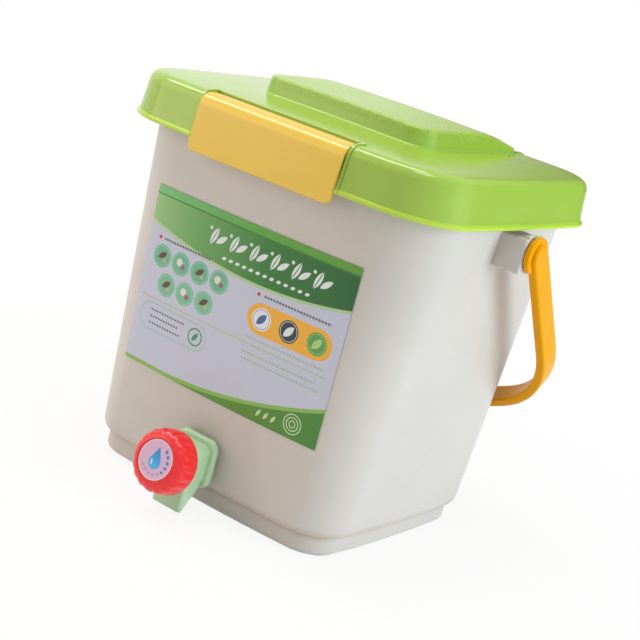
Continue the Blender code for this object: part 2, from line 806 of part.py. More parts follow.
def latch_profile():
    """The latch's section as (out, z): out grows away from the bucket's middle."""
    outer, inner = [], []
    for i in range(7):
        angle = math.pi / 2 * (1 - i / 6)
        cos, sin = math.cos(angle), math.sin(angle)
        outer.append((LATCH_ARC_Y + LATCH_ARC * cos, LATCH_ARC_Z + LATCH_ARC * sin))
        radius = LATCH_ARC - LATCH_SHEET
        inner.append((LATCH_ARC_Y + radius * cos, LATCH_ARC_Z + radius * sin))
    bottom_out = LATCH_ARC_Y + LATCH_ARC + LATCH_BOTTOM_FLARE
    flare = LATCH_BOTTOM_FLARE / (LATCH_ARC_Z - LATCH_BOTTOM_Z)

    def inside(z):
        return bottom_out - LATCH_SHEET - (z - LATCH_BOTTOM_Z) * flare

    hook_top = LEDGE_Z - SEAT_GAP
    hook_low = hook_top - HOOK_HEIGHT
    hook_root = hook_low - HOOK_HEIGHT
    hook_tip = LEDGE_Y + SEAT_GAP
    top = LATCH_AXIS_Z + LATCH_BARREL
    profile = [(LATCH_AXIS_Y, top)] + outer
    profile += [(bottom_out, LATCH_BOTTOM_Z), (inside(LATCH_BOTTOM_Z), LATCH_BOTTOM_Z)]
    profile += [(inside(hook_root), hook_root)]
    profile += [(hook_tip, hook_low), (hook_tip, hook_top), (inside(hook_top), hook_top)]
    profile += inner[::-1]
    return profile + [(LATCH_AXIS_Y, top - LATCH_SHEET)]


def make_latch(side, word):
    axis = (side * LATCH_AXIS_Y, LATCH_AXIS_Z)
    half = LATCH_HALF_X
    latch = extruded(word + "_latch", mirrored(latch_profile(), side), "x", -half, half, "yellow")
    barrel = rod(word + "_barrel", "x", LATCH_BARREL, -half, half, axis, SMALL_SIDES)
    reach = half + LATCH_GAP + LATCH_PIN_LENGTH - SEAT_GAP
    pins = rod(word + "_pins", "x", LATCH_PIN, -reach, reach, axis, SMALL_SIDES)
    join(latch, barrel)
    for end, at in ((-1, "left"), (1, "right")):
        cut(latch, latch_corner(side, word + "_" + at, end))
    join(latch, pins)
    set_origin(latch, (0.0, axis[0], axis[1]))


def latch_corner(side, word, end):
    """A wedge that rounds one bottom corner of the latch."""
    size = LATCH_CORNER
    x, z = end * LATCH_HALF_X, LATCH_BOTTOM_Z
    centre = (x - end * size, z + size)
    start = [(x + end * size, z - size), (x + end * size, z + size), (x, z + size)]
    arc = []
    for i in range(5):
        angle = math.pi / 2 * i / 4
        arc.append((centre[0] + end * size * math.cos(angle), centre[1] - size * math.sin(angle)))
    points = start + arc[1:] + [(x - end * size, z - size)]
    ends = sorted((side * LATCH_ARC_Y, side * BEYOND_Y))
    return extruded("latch_corner_" + word, points, "y", ends[0], ends[1])


def set_origin(made, place):
    """Moves an object's origin onto its joint axis, leaving its shape in place."""
    for vertex in made.data.vertices:
        vertex.co.x -= place[0]
        vertex.co.y -= place[1]
        vertex.co.z -= place[2]
    made.location = place


def make_seal():
    inner, outer = SEAL_OFFSET, SEAL_OFFSET + SEAL_WIDTH
    top = SEAL_BOTTOM_Z + SEAL_HEIGHT
    rings = [
        rim_ring(SEAL_BOTTOM_Z, inner),
        rim_ring(SEAL_BOTTOM_Z, outer),
        rim_ring(top, outer),
        rim_ring(top, inner),
    ]
    loft("lid_seal", rings, "rubber", closed=True)


BAIL_INNER_X = BOSS_OUTER_X + BAIL_SIDE_GAP
BAIL_MIDDLE_X = BAIL_INNER_X + BAIL_THICKNESS / 2
# At rest the arms end this far inside the body's depth, so that the bow clears the rear wall.
BAIL_ARM = (BODY_HALF_Y - BAIL_ARM_INSET) / math.sin(math.radians(BAIL_REST_DEG))


def bail_path():
    """(x, along) points down one arm, round its corner, over the shallow bow and back up."""
    turn = math.radians(BAIL_TURN_DEG)
    corner_x = BAIL_MIDDLE_X - BAIL_CORNER
    bow = BAIL_CORNER + corner_x / math.cos(turn)
    bow_along = (bow - BAIL_CORNER) * math.sin(turn) - BAIL_ARM
    right = [(BAIL_MIDDLE_X, 0.0)]
    for i in range(BAIL_STEPS + 1):
        angle = turn * i / BAIL_STEPS
        x = corner_x + BAIL_CORNER * math.cos(angle)
        right.append((x, -BAIL_ARM - BAIL_CORNER * math.sin(angle)))
    for i in range(1, BAIL_BOW_STEPS):
        angle = turn + (math.pi / 2 - turn) * i / BAIL_BOW_STEPS
        right.append((bow * math.cos(angle), bow_along - bow * math.sin(angle)))
    middle = (0.0, bow_along - bow)
    return right + [middle] + [(-x, along) for x, along in reversed(right)]


def make_bail():
    """A flat strap, swept along its path and turned about its axis to where it rests."""
    section = rounded_rectangle(BAIL_THICKNESS / 2, BAIL_WIDTH / 2, BAIL_EDGE, steps=2)
    section_guide = bpy.data.objects.new("bail_section", poly_curve("bail_section", section, True))
    CUTTERS.objects.link(section_guide)
    section_guide.hide_render = True
    path = poly_curve("bail_path", bail_path(), False)
    path.dimensions = "3D"
    path.twist_mode = "Z_UP"
    path.bevel_mode = "OBJECT"
    path.bevel_object = section_guide
    path.use_fill_caps = True
    bail = add_object("bail_handle", curve_as_mesh(bpy.data.objects.new("sweep", path)), "yellow")
    bpy.data.objects.remove(section_guide, do_unlink=True)
    bail.location = (0.0, 0.0, BAIL_AXIS_Z)
    bail.rotation_euler = (math.pi / 2 + math.radians(BAIL_REST_DEG), 0.0, 0.0)
    centre = (0.0, BAIL_AXIS_Z)
    for side, word in ((-1, "left"), (1, "right")):
        ends = sorted((side * BAIL_INNER_X, side * (BAIL_INNER_X + BAIL_THICKNESS)))
        ear = rod("bail_ear_" + word, "x", BAIL_EAR, *ends, centre)
        bevel(ear, BAIL_EDGE / 2, 1)
        tip = BOSS_OUTER_X - BAIL_PIN_LENGTH
        ends = sorted((side * tip, side * BAIL_MIDDLE_X))
        pin = rod("bail_pin_" + word, "x", BAIL_PIN, *ends, centre, SMALL_SIDES)
        join(bail, ear, pin)


FLANGE_BACK_Y = TAP_OUTER_SEAT - WASHER - 2 * SEAT_GAP
FLANGE_FRONT_Y = FLANGE_BACK_Y - FLANGE_THICKNESS
BLOCK_FRONT_Y = FLANGE_FRONT_Y - TAP_BLOCK_LENGTH
NECK_FRONT_Y = BLOCK_FRONT_Y - TAP_NECK_LENGTH
SHANK_END_Y = FLANGE_BACK_Y + SHANK_LENGTH
CHAMBER_BACK_Y = FLANGE_FRONT_Y - SEAT_GAP
SPOUT_Y = (FLANGE_FRONT_Y + BLOCK_FRONT_Y) / 2
TAP_CENTRE = (0.0, TAP_Z)
KNOB_REAR_Y = BLOCK_FRONT_Y - KNOB_REAR_GAP


def tilt(*pieces):
    """Turns pieces about the middle of the knob's rear, so that the knob looks a little upwards."""
    pivot = Matrix.Translation((0.0, KNOB_REAR_Y, TAP_Z))
    turn = pivot @ Matrix.Rotation(-math.radians(KNOB_TILT_DEG), 4, "X") @ pivot.inverted()
    for made in pieces:
        made.matrix_basis = turn @ made.matrix_basis


def spout_cutter():
    """Takes the spout's mouth off at a slant, from its front edge up to the flange."""
    front = SPOUT_Y - SPOUT_HALF_Y * SPOUT_TAPER_share + SPOUT_LIP
    rear = FLANGE_FRONT_Y + SPOUT_LIP
    rise = (rear - front) * math.tan(math.radians(SPOUT_SLANT_DEG))
    profile = [
        (front, SPOUT_BOTTOM_Z - SPOUT_LIP),
        (front, SPOUT_BOTTOM_Z),
        (rear, SPOUT_BOTTOM_Z + rise),
        (rear, SPOUT_BOTTOM_Z - SPOUT_LIP),
    ]
    return extruded("spout_cutter", profile, "x", -SPOUT_HALF_X * 2, SPOUT_HALF_X * 2)


def make_tap_body():
    square = rounded_rectangle(FLANGE_HALF, FLANGE_HALF, FLANGE_CORNER, TAP_CENTRE)
    body = extruded("tap_body", square, "y", FLANGE_FRONT_Y, FLANGE_BACK_Y, "pale_green")
    bevel(body, FLANGE_EDGE)
    square = rounded_rectangle(TAP_BLOCK_HALF, TAP_BLOCK_HALF, TAP_BLOCK_CORNER, TAP_CENTRE)
    overlap = FLANGE_THICKNESS / 2
    block = extruded("tap_block", square, "y", BLOCK_FRONT_Y, FLANGE_FRONT_Y + overlap)
    bevel(block, TAP_EDGE)
    neck = rod("tap_neck", "y", TAP_NECK, NECK_FRONT_Y, BLOCK_FRONT_Y + 2 * overlap, TAP_CENTRE)
    shank = rod("tap_shank", "y", SHANK, FLANGE_BACK_Y - overlap, SHANK_END_Y, TAP_CENTRE)
    top = rounded_rectangle(SPOUT_HALF_X, SPOUT_HALF_Y, SPOUT_HALF_Y / 3, (0.0, SPOUT_Y), 3)
    low = [
        (x * SPOUT_TAPER_share, SPOUT_Y + (y - SPOUT_Y) * SPOUT_TAPER_share) for x, y in top
    ]
    spout = loft("tap_spout", [lifted(top, TAP_Z), lifted(low, SPOUT_BOTTOM_Z)])
    cut(spout, spout_cutter())
    join(body, block, neck, shank, spout)
    chamber = rod("tap_chamber", "y", PLUG_BORE, NECK_FRONT_Y * 2, CHAMBER_BACK_Y, TAP_CENTRE)
    inlet = rod("tap_inlet", "y", INLET, CHAMBER_BACK_Y * 1.01, 0.0, TAP_CENTRE, SMALL_SIDES)
    outlet = rod("tap_outlet", "z", SPOUT_BORE, -TAP_Z, TAP_Z, (0.0, SPOUT_Y), SMALL_SIDES)
    tilt(neck, chamber)
    cut(body, chamber, inlet, outlet)


PLUG_BACK_Y = CHAMBER_BACK_Y - SEAT_GAP
PLUG_FRONT_Y = NECK_FRONT_Y
STEM_FRONT_Y = PLUG_FRONT_Y - STEM_LENGTH
O_RING_Y = PLUG_FRONT_Y + O_RING_BACK
O_RING_MAJOR = PLUG - O_RING_GROOVE_DEPTH + SEAT_GAP + O_RING


def knob_ring(y, radius):
    return [(x, y, z) for x, z in circle(radius, KNOB_RIBS * 2, TAP_CENTRE)]


def make_plug():
    half = O_RING_GROOVE_WIDTH / 2
    groove = PLUG - O_RING_GROOVE_DEPTH
    profile = [
        (0.0, STEM_FRONT_Y),
        (STEM, STEM_FRONT_Y),
        (STEM, PLUG_FRONT_Y),
        (PLUG, PLUG_FRONT_Y),
        (PLUG, O_RING_Y - half),
        (groove, O_RING_Y - half),
        (groove, O_RING_Y + half),
        (PLUG, O_RING_Y + half),
        (PLUG, PLUG_BACK_Y),
        (0.0, PLUG_BACK_Y),
    ]
    plug = turned("tap_plug", profile, ROUND_SIDES, "pale_green")
    axial = rod("plug_axial", "y", PLUG_PORT, SPOUT_Y - PLUG_PORT, 0.0, TAP_CENTRE, SMALL_SIDES)
    port = rod("plug_port", "x", PLUG_PORT, 0.0, PLUG * 2, (SPOUT_Y, TAP_Z), SMALL_SIDES)
    bore = SCREW_SHANK + SEAT_GAP
    depth = SCREW_SEAT_Y + SCREW_LENGTH + SEAT_GAP
    screw_hole = rod("plug_screw_hole", "y", bore, STEM_FRONT_Y * 2, depth, TAP_CENTRE, HOLE_SIDES)
    cut(plug, axial, port, screw_hole)
    tilt(plug, axial, port, screw_hole)


KNOB_FRONT_Y = KNOB_REAR_Y - KNOB_DEPTH
POCKET_Y = KNOB_FRONT_Y + STICKER_POCKET
SCREW_SEAT_Y = POCKET_Y + SCREW_HEAD_HEIGHT + 2 * SEAT_GAP


def ribbed_ring(y, radius):
    """A ring whose radius steps in and out once for each finger rib."""
    points = []
    for i, (x, z) in enumerate(circle(1.0, KNOB_RIBS * 2)):
        size = radius - (KNOB_RIB_DEPTH if i % 2 else 0.0)
        points.append((x * size, y, TAP_Z + z * size))
    return points


def make_knob():
    shoulder_y = KNOB_FRONT_Y + KNOB_SHOULDER
    inner = KNOB - KNOB_RIB_DEPTH - KNOB_SHELL
    pocket = STICKER + STICKER_SIDE_GAP
    front_inner_y = KNOB_FRONT_Y + KNOB_SHOULDER * 0.9
    hub_y = front_inner_y + KNOB_HUB_LENGTH
    rings = [
        knob_ring(KNOB_REAR_Y, KNOB - KNOB_RIB_DEPTH),
        ribbed_ring(KNOB_REAR_Y - KNOB_RIB_DEPTH, KNOB),
        ribbed_ring(shoulder_y, KNOB),
        ribbed_ring(KNOB_FRONT_Y + KNOB_SHOULDER * 0.45, KNOB - KNOB_SHOULDER * 0.22),
        knob_ring(KNOB_FRONT_Y + KNOB_SHOULDER * 0.12, KNOB_FACE + KNOB_SHOULDER * 0.35),
        knob_ring(KNOB_FRONT_Y, KNOB_FACE),
        knob_ring(KNOB_FRONT_Y, pocket),
        knob_ring(POCKET_Y, pocket),
    ]
    knob = loft("tap_knob", rings, "red")
    hollow = [
        (0.0, front_inner_y),
        (inner - KNOB_SHOULDER * 0.4, front_inner_y),
        (inner, shoulder_y + KNOB_SHELL * 0.3),
        (inner, KNOB_REAR_Y + KNOB_SHELL),
        (0.0, KNOB_REAR_Y + KNOB_SHELL),
    ]
    cavity = turned("knob_cavity", hollow, ROUND_SIDES)
    hub = rod("knob_hub", "y", KNOB_HUB, POCKET_Y + KNOB_SHELL / 2, hub_y, TAP_CENTRE)
    cut(knob, cavity)
    join(knob, hub)
    stem = STEM + SEAT_GAP
    socket = rod("knob_socket", "y", stem, STEM_FRONT_Y - SEAT_GAP, hub_y / 2, TAP_CENTRE)
    head = SCREW_HEAD + SCREW_CLEARANCE
    sunk = rod("knob_screw_seat", "y", head, POCKET_Y * 2, SCREW_SEAT_Y, TAP_CENTRE, SMALL_SIDES)
    shank = SCREW_SHANK + SCREW_CLEARANCE
    through = rod("knob_screw_hole", "y", shank, POCKET_Y * 2, 0.0, TAP_CENTRE, HOLE_SIDES)
    cut(knob, socket, sunk, through)
    set_origin(knob, (0.0, KNOB_REAR_Y, TAP_Z))
    tilt(knob, cavity, hub, socket, sunk, through)


def make_knob_sticker():
    low = POCKET_Y - SEAT_GAP - STICKER_THICKNESS
    sticker = rod(
        "tap_knob_sticker", "y", STICKER, low, POCKET_Y - SEAT_GAP, TAP_CENTRE, kind="sticker"
    )
    set_origin(sticker, (0.0, POCKET_Y, TAP_Z))
    tilt(sticker)


def make_knob_screw():
    seat = SCREW_SEAT_Y - SEAT_GAP
    profile = [
        (0.0, seat - SCREW_HEAD_HEIGHT),
        (SCREW_HEAD * 0.7, seat - SCREW_HEAD_HEIGHT),
        (SCREW_HEAD, seat - SCREW_HEAD_HEIGHT * 0.6),
        (SCREW_HEAD, seat),
        (SCREW_SHANK, seat),
        (SCREW_SHANK, seat + SCREW_LENGTH),
        (0.0, seat + SCREW_LENGTH),
    ]
    tilt(turned("tap_knob_screw", profile, SMALL_SIDES, "steel"))


def make_o_ring():
    profile = [(O_RING_MAJOR + out, O_RING_Y + back) for out, back in circle(O_RING, 8)]
    tilt(turned("tap_o_ring", profile, ROUND_SIDES, "rubber", closed=True))


def make_washer(name, front_y, bore):
    back_y = front_y + WASHER
    profile = [
        (WASHER_OUTER, front_y),
        (WASHER_OUTER, back_y),
        (bore, back_y),
        (bore, front_y),
    ]
    turned(name, profile, ROUND_SIDES, "rubber", closed=True)


def make_nut():
    front = TAP_INNER_SEAT + WASHER + 2 * SEAT_GAP
    nut = rod("tap_nut", "y", NUT, front, front + NUT_THICKNESS, TAP_CENTRE, 6, "pale_green")
    bevel(nut, BOSS_EDGE / 2, 1)
    cut(nut, rod("nut_bore", "y", NUT_BORE, -BODY_HALF_Y, 0.0, TAP_CENTRE))


def make_tap():
    make_tap_body()
    make_plug()
    make_knob()
    make_knob_sticker()
    make_knob_screw()
    make_o_ring()
    bore = SHANK + SEAT_GAP
    make_washer("tap_outer_washer", FLANGE_BACK_Y + SEAT_GAP, bore)
    make_washer("tap_inner_washer", TAP_INNER_SEAT + SEAT_GAP, bore)
    make_nut()


def plate_holes(half_x, half_y, legs):
    """Centres of the drain holes: a grid within the plate that keeps off the legs."""
    reach_x, reach_y = half_x - PLATE_HOLE_MARGIN, half_y - PLATE_HOLE_MARGIN
    columns, rows = int(reach_x / PLATE_PITCH), int(reach_y / PLATE_PITCH)
    places = []
    for column in range(-columns, columns + 1):
        for row in range(-rows, rows + 1):
            x, y = column * PLATE_PITCH, row * PLATE_PITCH
            clear = all(math.hypot(x - a, y - b) > LEG + PLATE_HOLE * 2 for a, b in legs)
            under_tab = abs(x) < TAB_HALF_X + PLATE_HOLE and row == 0
            in_corner = abs(x) / reach_x + abs(y) / reach_y > PLATE_CORNER_share
            if clear and not under_tab and not in_corner:
                places.append((x, y))
    return places


def make_drain_plate():
    half_x, half_y, corner = body_sizes(PLATE_Z, -(WALL + PLATE_SIDE_GAP))
    points = outline(half_x, half_y, corner)
    top = PLATE_Z + PLATE_THICKNESS
    plate = extruded("drain_plate", points, "z", PLATE_Z, top, "plate")
    legs = [
        (sx * (half_x - LEG_INSET_X), sy * (half_y - LEG_INSET_Y)) for sx in (-1, 1) for sy in (-1, 1)
    ]
    foot = FLOOR_THICKNESS + SEAT_GAP
    middle = PLATE_Z + PLATE_THICKNESS / 2
    join(plate, rods("plate_legs", "z", LEG, foot, middle, legs, SMALL_SIDES))
    low = (-TAB_HALF_X, -TAB_HALF_Y, middle)
    tab = box("lift_tab", low, (TAB_HALF_X, TAB_HALF_Y, top + TAB_HEIGHT), edge=BOSS_EDGE / 2)
    centre = (0.0, top + TAB_HEIGHT * 0.6)
    hole = rod("lift_tab_hole", "y", TAB_HOLE, -TAB_HALF_X, TAB_HALF_X, centre, SMALL_SIDES)
    join(plate, tab)
    places = plate_holes(half_x, half_y, legs)
    drains = rods("plate_holes", "z", PLATE_HOLE, PLATE_Z / 2, top * 2, places, HOLE_SIDES)
    cut(plate, hole, drains)


def wall_point(x, z, offset):
    """The front wall's outside at this x and z, moved out by the offset."""
    half_x, half_y, corner = body_sizes(z, offset)
    beyond = max(0.0, abs(x) - (half_x - corner))
    y = half_y - corner + math.sqrt(corner**2 - beyond**2)
    new_x, new_y = bowed(x, y, half_x, half_y)
    return new_x, -new_y, z


def label_columns(half, flat):
    """Places across the label: wide steps on the flat, small ones round the corners."""
    small = [flat + (half - flat) * i / LABEL_SIDE_STEPS for i in range(1, LABEL_SIDE_STEPS + 1)]
    wide = [flat * (2 * i / LABEL_STEPS - 1) for i in range(LABEL_STEPS + 1)]
    return [-x for x in reversed(small)] + wide + small


def make_label():
    rings = []
    for row in range(LABEL_ROWS + 1):
        share = row / LABEL_ROWS
        z = LABEL_BOTTOM_Z + share * (LABEL_TOP_Z - LABEL_BOTTOM_Z)
        half = LABEL_HALF_BOTTOM + share * (LABEL_HALF_TOP - LABEL_HALF_BOTTOM)
        half_x, _, corner = body_sizes(z)
        across = label_columns(half, half_x - corner)
        ring = [wall_point(x, z, SEAT_GAP + LABEL_THICKNESS) for x in across]
        ring += [wall_point(x, z, SEAT_GAP) for x in reversed(across)]
        rings.append(ring)
    loft("front_label", rings, "label")


make_bucket()
make_lid()
make_latch(-1, "front")
make_latch(1, "rear")
make_seal()
make_bail()
make_tap()
make_drain_plate()
make_label()
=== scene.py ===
"""The looks of a kitchen compost bin: shells, latches, bail, tap, label and studio.

Metres, Z up, front towards -Y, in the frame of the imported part.
"""

import math
from functools import partialmethod
from math import pi, radians, sqrt, tan

import bmesh
import bpy
from mathutils import Matrix, Vector


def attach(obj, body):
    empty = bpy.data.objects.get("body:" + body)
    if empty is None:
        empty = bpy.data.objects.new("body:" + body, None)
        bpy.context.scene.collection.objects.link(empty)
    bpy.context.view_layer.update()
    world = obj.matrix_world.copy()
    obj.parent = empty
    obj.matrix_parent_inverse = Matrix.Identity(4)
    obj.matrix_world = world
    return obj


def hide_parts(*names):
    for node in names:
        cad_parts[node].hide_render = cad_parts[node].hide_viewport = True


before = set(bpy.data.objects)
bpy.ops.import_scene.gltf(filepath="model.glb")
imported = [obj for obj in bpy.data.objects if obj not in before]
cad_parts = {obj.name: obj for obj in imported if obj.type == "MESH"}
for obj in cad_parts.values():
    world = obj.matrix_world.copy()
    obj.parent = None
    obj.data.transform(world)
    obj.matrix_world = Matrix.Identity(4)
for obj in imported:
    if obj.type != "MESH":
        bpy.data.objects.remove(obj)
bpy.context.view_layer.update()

# Camera, fitted to the photograph. Angles in degrees, lengths in metres, focal length in pixels.
IMAGE = 640
CAMERA_AZIMUTH = 32.16
CAMERA_ELEVATION = 14.5
CAMERA_ROLL = 15.33
CAMERA_FOCAL = 1563.0
CAMERA_DISTANCE = 1.1939
CAMERA_AIM_Z = 0.1346
SENSOR = 36.0
CAMERA_CLIP = (0.05, 30.0)

# Bucket.
REFERENCE_Z = 0.256
BODY_HALF = (0.134, 0.116)
BODY_CORNER = 0.05
BODY_SLOPE = (tan(radians(4.3)), tan(radians(2.0)))
CORNER_SLOPE = 0.085
BOW_FRONT = 0.0055
BOW_SIDE = 0.0035
WALL = 0.0022
FLOOR = 0.0025
SHOULDER_Z = 0.026
GROOVE_Z = 0.015
FOOT_INSET = 0.0065
FOOT_ROUND = 0.0045
GROOVE_STEPS = ((-0.001, 0.0), (-0.0003, 0.0002), (0.0002, 0.0))
GROOVE_LIFT = 0.0004
SHOULDER_POWER = 1.15
RIM_Z = 0.278
RIM_BEAD = 0.0015
RIM_BEAD_HEIGHT = 0.006
RIM_ROUND = 0.0008
BOSS_LOW = (0.1305, -0.013, 0.2268)
BOSS_HIGH = (0.154, 0.013, 0.2525)
BOSS_EDGE = 0.0016
LUG_INSET = (0.0042, 0.0002)
LUG_MARGIN = 0.003
LUG_ROOT = 0.002
LUG_HEIGHT = 0.0022
LUG_EDGE = 0.001
PIN_HOLE = 0.0054
PIN_HOLE_X = (0.1461, 0.16)
LEDGE_HALF_X = 0.05
LEDGE_REACH = 0.0058
LEDGE_Z = (0.262, 0.265)
LEDGE_ROOT = 0.0016
LEDGE_EDGE = 0.0004

# Lid. Its deck is the raised platform.
LIP_Z = 0.256
LIP_OFFSET = 0.012
LIP_HEIGHT = 0.0034
LIP_FLATTEN = 0.8
SKIRT_LOW_Z = LIP_Z + LIP_HEIGHT * 1.35
SKIRT_OFFSET = 0.0102
SKIRT_TOP_OFFSET = 0.008
EDGE_ROUND = 0.0085
LID_TOP_Z = 0.29
EDGE_OFFSET = SKIRT_TOP_OFFSET - EDGE_ROUND
EDGE_Z = LID_TOP_Z - EDGE_ROUND
LID_WALL = 0.0022
LID_CORNER_CUT = 0.016
CROWN = 0.0035
FLOOR_SHARES = (0.0, 0.12, 0.26, 0.42, 0.58, 0.74, 0.88, 1.0)
RIB_OFFSET = -0.0036
RIB_WIDTH = 0.002
RIB_Z = 0.27
PRESS = (-0.0022, 0.0014)
PRESS_Z = 0.282
DECK_HALF_X = 0.075
DECK_Y = (-0.0495, 0.0985)
DECK_CENTRE_Y = (DECK_Y[0] + DECK_Y[1]) / 2
DECK_HALF_Y = (DECK_Y[1] - DECK_Y[0]) / 2
DECK_CORNER = 0.017
DECK_HEIGHT = 0.013
DECK_DRAFT = 0.0012
DECK_EDGE = 0.0026
DECK_FOOT = 0.0012
DECK_FOOT_RISE = 0.1
DECK_CREST = 0.57
DECK_TAIL = 0.33
DECK_BOW = 0.35
DECK_SHARES = (0.985, 0.93, 0.85, 0.75, 0.64, 0.52, 0.4, 0.28, 0.16, 0.05)
DECK_INNER_SHARES = (0.05, 0.28, 0.52, 0.75, 0.93)

# Latches.
LATCH_HALF_X = 0.0634
LATCH_GAP = 0.0006
LATCH_AXIS = (0.1104, 0.2872)
LATCH_BARREL = 0.0024
LATCH_SHEET = 0.0024
LATCH_ARC = 0.0104
LATCH_ARC_Y = 0.1162
LATCH_BOTTOM_Z = 0.248
LATCH_FLARE = 0.0024
LATCH_CORNER = 0.0045
LATCH_EDGE = 0.0007
BARREL_EDGE = 0.0004
HOOK_EDGE = 0.0003
LATCH_STEPS = 22
LATCH_TOP_Z = LATCH_AXIS[1] + LATCH_BARREL
LATCH_ARC_Z = LATCH_TOP_Z - LATCH_ARC
TRUNNION = 0.0012
TRUNNION_REACH = 0.0033
TRUNNION_HOLE = 0.00145
TRUNNION_HOLE_DEPTH = 0.003
HOOK_GAP = 0.0003
HOOK_ROOT = 0.0012
HOOK_SHARE = 0.79
LATCH_RIBS_X = (-0.06, -0.036, -0.012, 0.012, 0.036, 0.06)
LATCH_RIB_HALF = 0.0005
LATCH_RIB_EDGES = ((0.2765, 0.0008), (0.276, -0.0009), (0.251, -0.0009), (0.25, 0.0008))
RECESS_BACK_Y = 0.107
RECESS_FLOOR_Z = 0.284
RECESS_SHEET = 0.0017
RECESS_WALL_Y = 0.1205
RECESS_OPEN_Z = 0.266
CHEEK = 0.005
RIDGE = 0.002
RIDGE_Z = 0.2914
RIDGE_EDGE = 0.0008
BORDER_RISE = 0.0011
BORDER_EDGE = 0.0006
ABOVE_Z = 0.32
BEYOND_Y = 0.15

# Bail.
BAIL_Z = 0.2415
BAIL_CENTRE = (0.0, BAIL_Z)
BAIL_REST = radians(39.1)
BAIL_INNER_X = 0.1546
BAIL_THICK = 0.008
BAIL_WIDE = 0.018
BAIL_ARM = 0.0972
BAIL_CORNER = 0.0893
BAIL_TURN = radians(56.0)
BAIL_EDGE = 0.002
BAIL_FIT = 0.0001
BAIL_DOME_EDGE = 0.0022
BAIL_EAR = 0.0135
BAIL_EAR_THICK = 0.0046
BAIL_EAR_EDGE = 0.0016
BAIL_PIN = 0.005
BAIL_PIN_X = 0.1465

# Tap.
TAP_Z = 0.0365
TAP_CENTRE = (0.0, TAP_Z)
TAP_SEAT_Y = (-0.10975, -0.10395)
TAP_SEAT_HALF = 0.015
TAP_SEAT_CORNER = 0.006
TAP_SEAT_EDGE = 0.0006
TAP_HOLE = 0.0109
TAP_HOLE_Y = (-0.12, -0.095)
FAR_FRONT_Y = -0.2
FLANGE_Y = (-0.11783, -0.11183)
FLANGE_HALF = 0.0185
FLANGE_CORNER = 0.008
FLANGE_EDGE = 0.0024
BLOCK_FRONT_Y = -0.13533
BLOCK_REAR_Y = -0.115
BLOCK_HALF = 0.0145
BLOCK_CORNER = 0.006
BLOCK_EDGE = 0.0018
NECK = 0.013
NECK_ROOT = 0.006
NECK_EDGE = 0.0005
NECK_FRONT_Y = -0.14463
SHANK = 0.0105
SHANK_Y = (-0.1145, -0.09023)
CHAMBER = 0.0083
BORE = 0.0058
INLET_Y = (-0.1188, -0.05)
SPOUT_Y = -0.12658
SPOUT_CENTRE = (0.0, SPOUT_Y)
SPOUT_HALF = (0.014, 0.0092)
SPOUT_EDGE = 0.0004
SPOUT_CORNER = 0.0031
SPOUT_TAPER = 0.03
SPOUT_LIP = 0.0015
SPOUT_BOTTOM_Z = 0.002
SPOUT_SLANT = tan(radians(52.0))
KNOB_REAR_Y = -0.14033
KNOB_FRONT_Y = -0.16013
KNOB_TILT = radians(14.5)
KNOB = 0.0235
KNOB_LOBES = 18
STICKER = 0.0147
STICKER_THICK = 0.0005
STICKER_EDGE = 0.00015
STICKER_GAP = 0.0003
RECESS_DEPTH = 0.0012
# The knob's rings: distance from its rear or front, how far in (out for the recess), lobe depth.
KNOB_SIDE = (
    (0.0, 0.0016, 0.0), (-0.0005, 0.0007, 0.0), (-0.0014, 0.0001, 0.0), (-0.0024, 0.0, 0.0),
    (-0.0034, 0.0, 0.0003), (-0.005, 0.0, 0.001),
)
KNOB_SHOULDER = (
    (0.0095, 0.0, 0.0012), (0.0072, 0.0003, 0.0012), (0.0055, 0.0008, 0.0011),
    (0.004, 0.0016, 0.0009), (0.0028, 0.0026, 0.0006), (0.0018, 0.0038, 0.0003),
    (0.001, 0.005, 0.0001), (0.0004, 0.0062, 0.0), (0.0001, 0.0073, 0.0),
)
KNOB_RECESS = ((0.0, 0.0009), (0.0002, 0.0005), (0.0005, 0.0004), (RECESS_DEPTH, 0.0003))
KNOB_MIDDLE = 0.004
KNOB_HOLLOW = ((0.0054, 0.001), (0.0054, KNOB - 0.0062), (0.0067, KNOB - 0.0036))

# Label: its lower and upper edge and half its width at each.
LABEL_Z = (0.08, 0.2135)
LABEL_HALF = (0.0925, 0.094)
LABEL_OFFSET = 0.0004
LABEL_THICK = 0.0002

# Mesh.
CORNER_STEPS = 18
EDGE_STEPS = 14
TURNED = {"x": (0, pi / 2, 0), "y": (pi / 2, 0, 0), "z": (0, 0, 0)}
SMOOTH_DEGREES = 32
WELD = 0.000002

# Noise textures: scale per metre, detail, roughness and distortion. Bump depths in metres.
CLOUDS = (14.0, 4.0, 0.55, 0.6)
SMEAR = (38.0, 5.0, 0.6, 0.4)
WAVES = (60.0, 2.0, 0.4)
WAVE_DEPTH = 0.00012
GRAIN = (2600.0, 2.0, 0.5)
DUST = (900.0, 2.0, 0.6)
DECK_SPECKS = (620.0, 3.0, 0.65)
BRUSHING = (1500.0, 3.0, 0.6)
PRINT_SHEEN = (45.0, 3.0, 0.5)
PRINT_WAVES = (55.0, 2.0, 0.4)
PRINT_GRAIN = (1800.0, 2.0, 0.5)

# Print and plastic.
PRINT_SOFT = 0.00022
PRINT_PITCH = 0.0186
BEAD_ORBIT = 0.0106
LIME = (0.335, 0.525, 0.062)
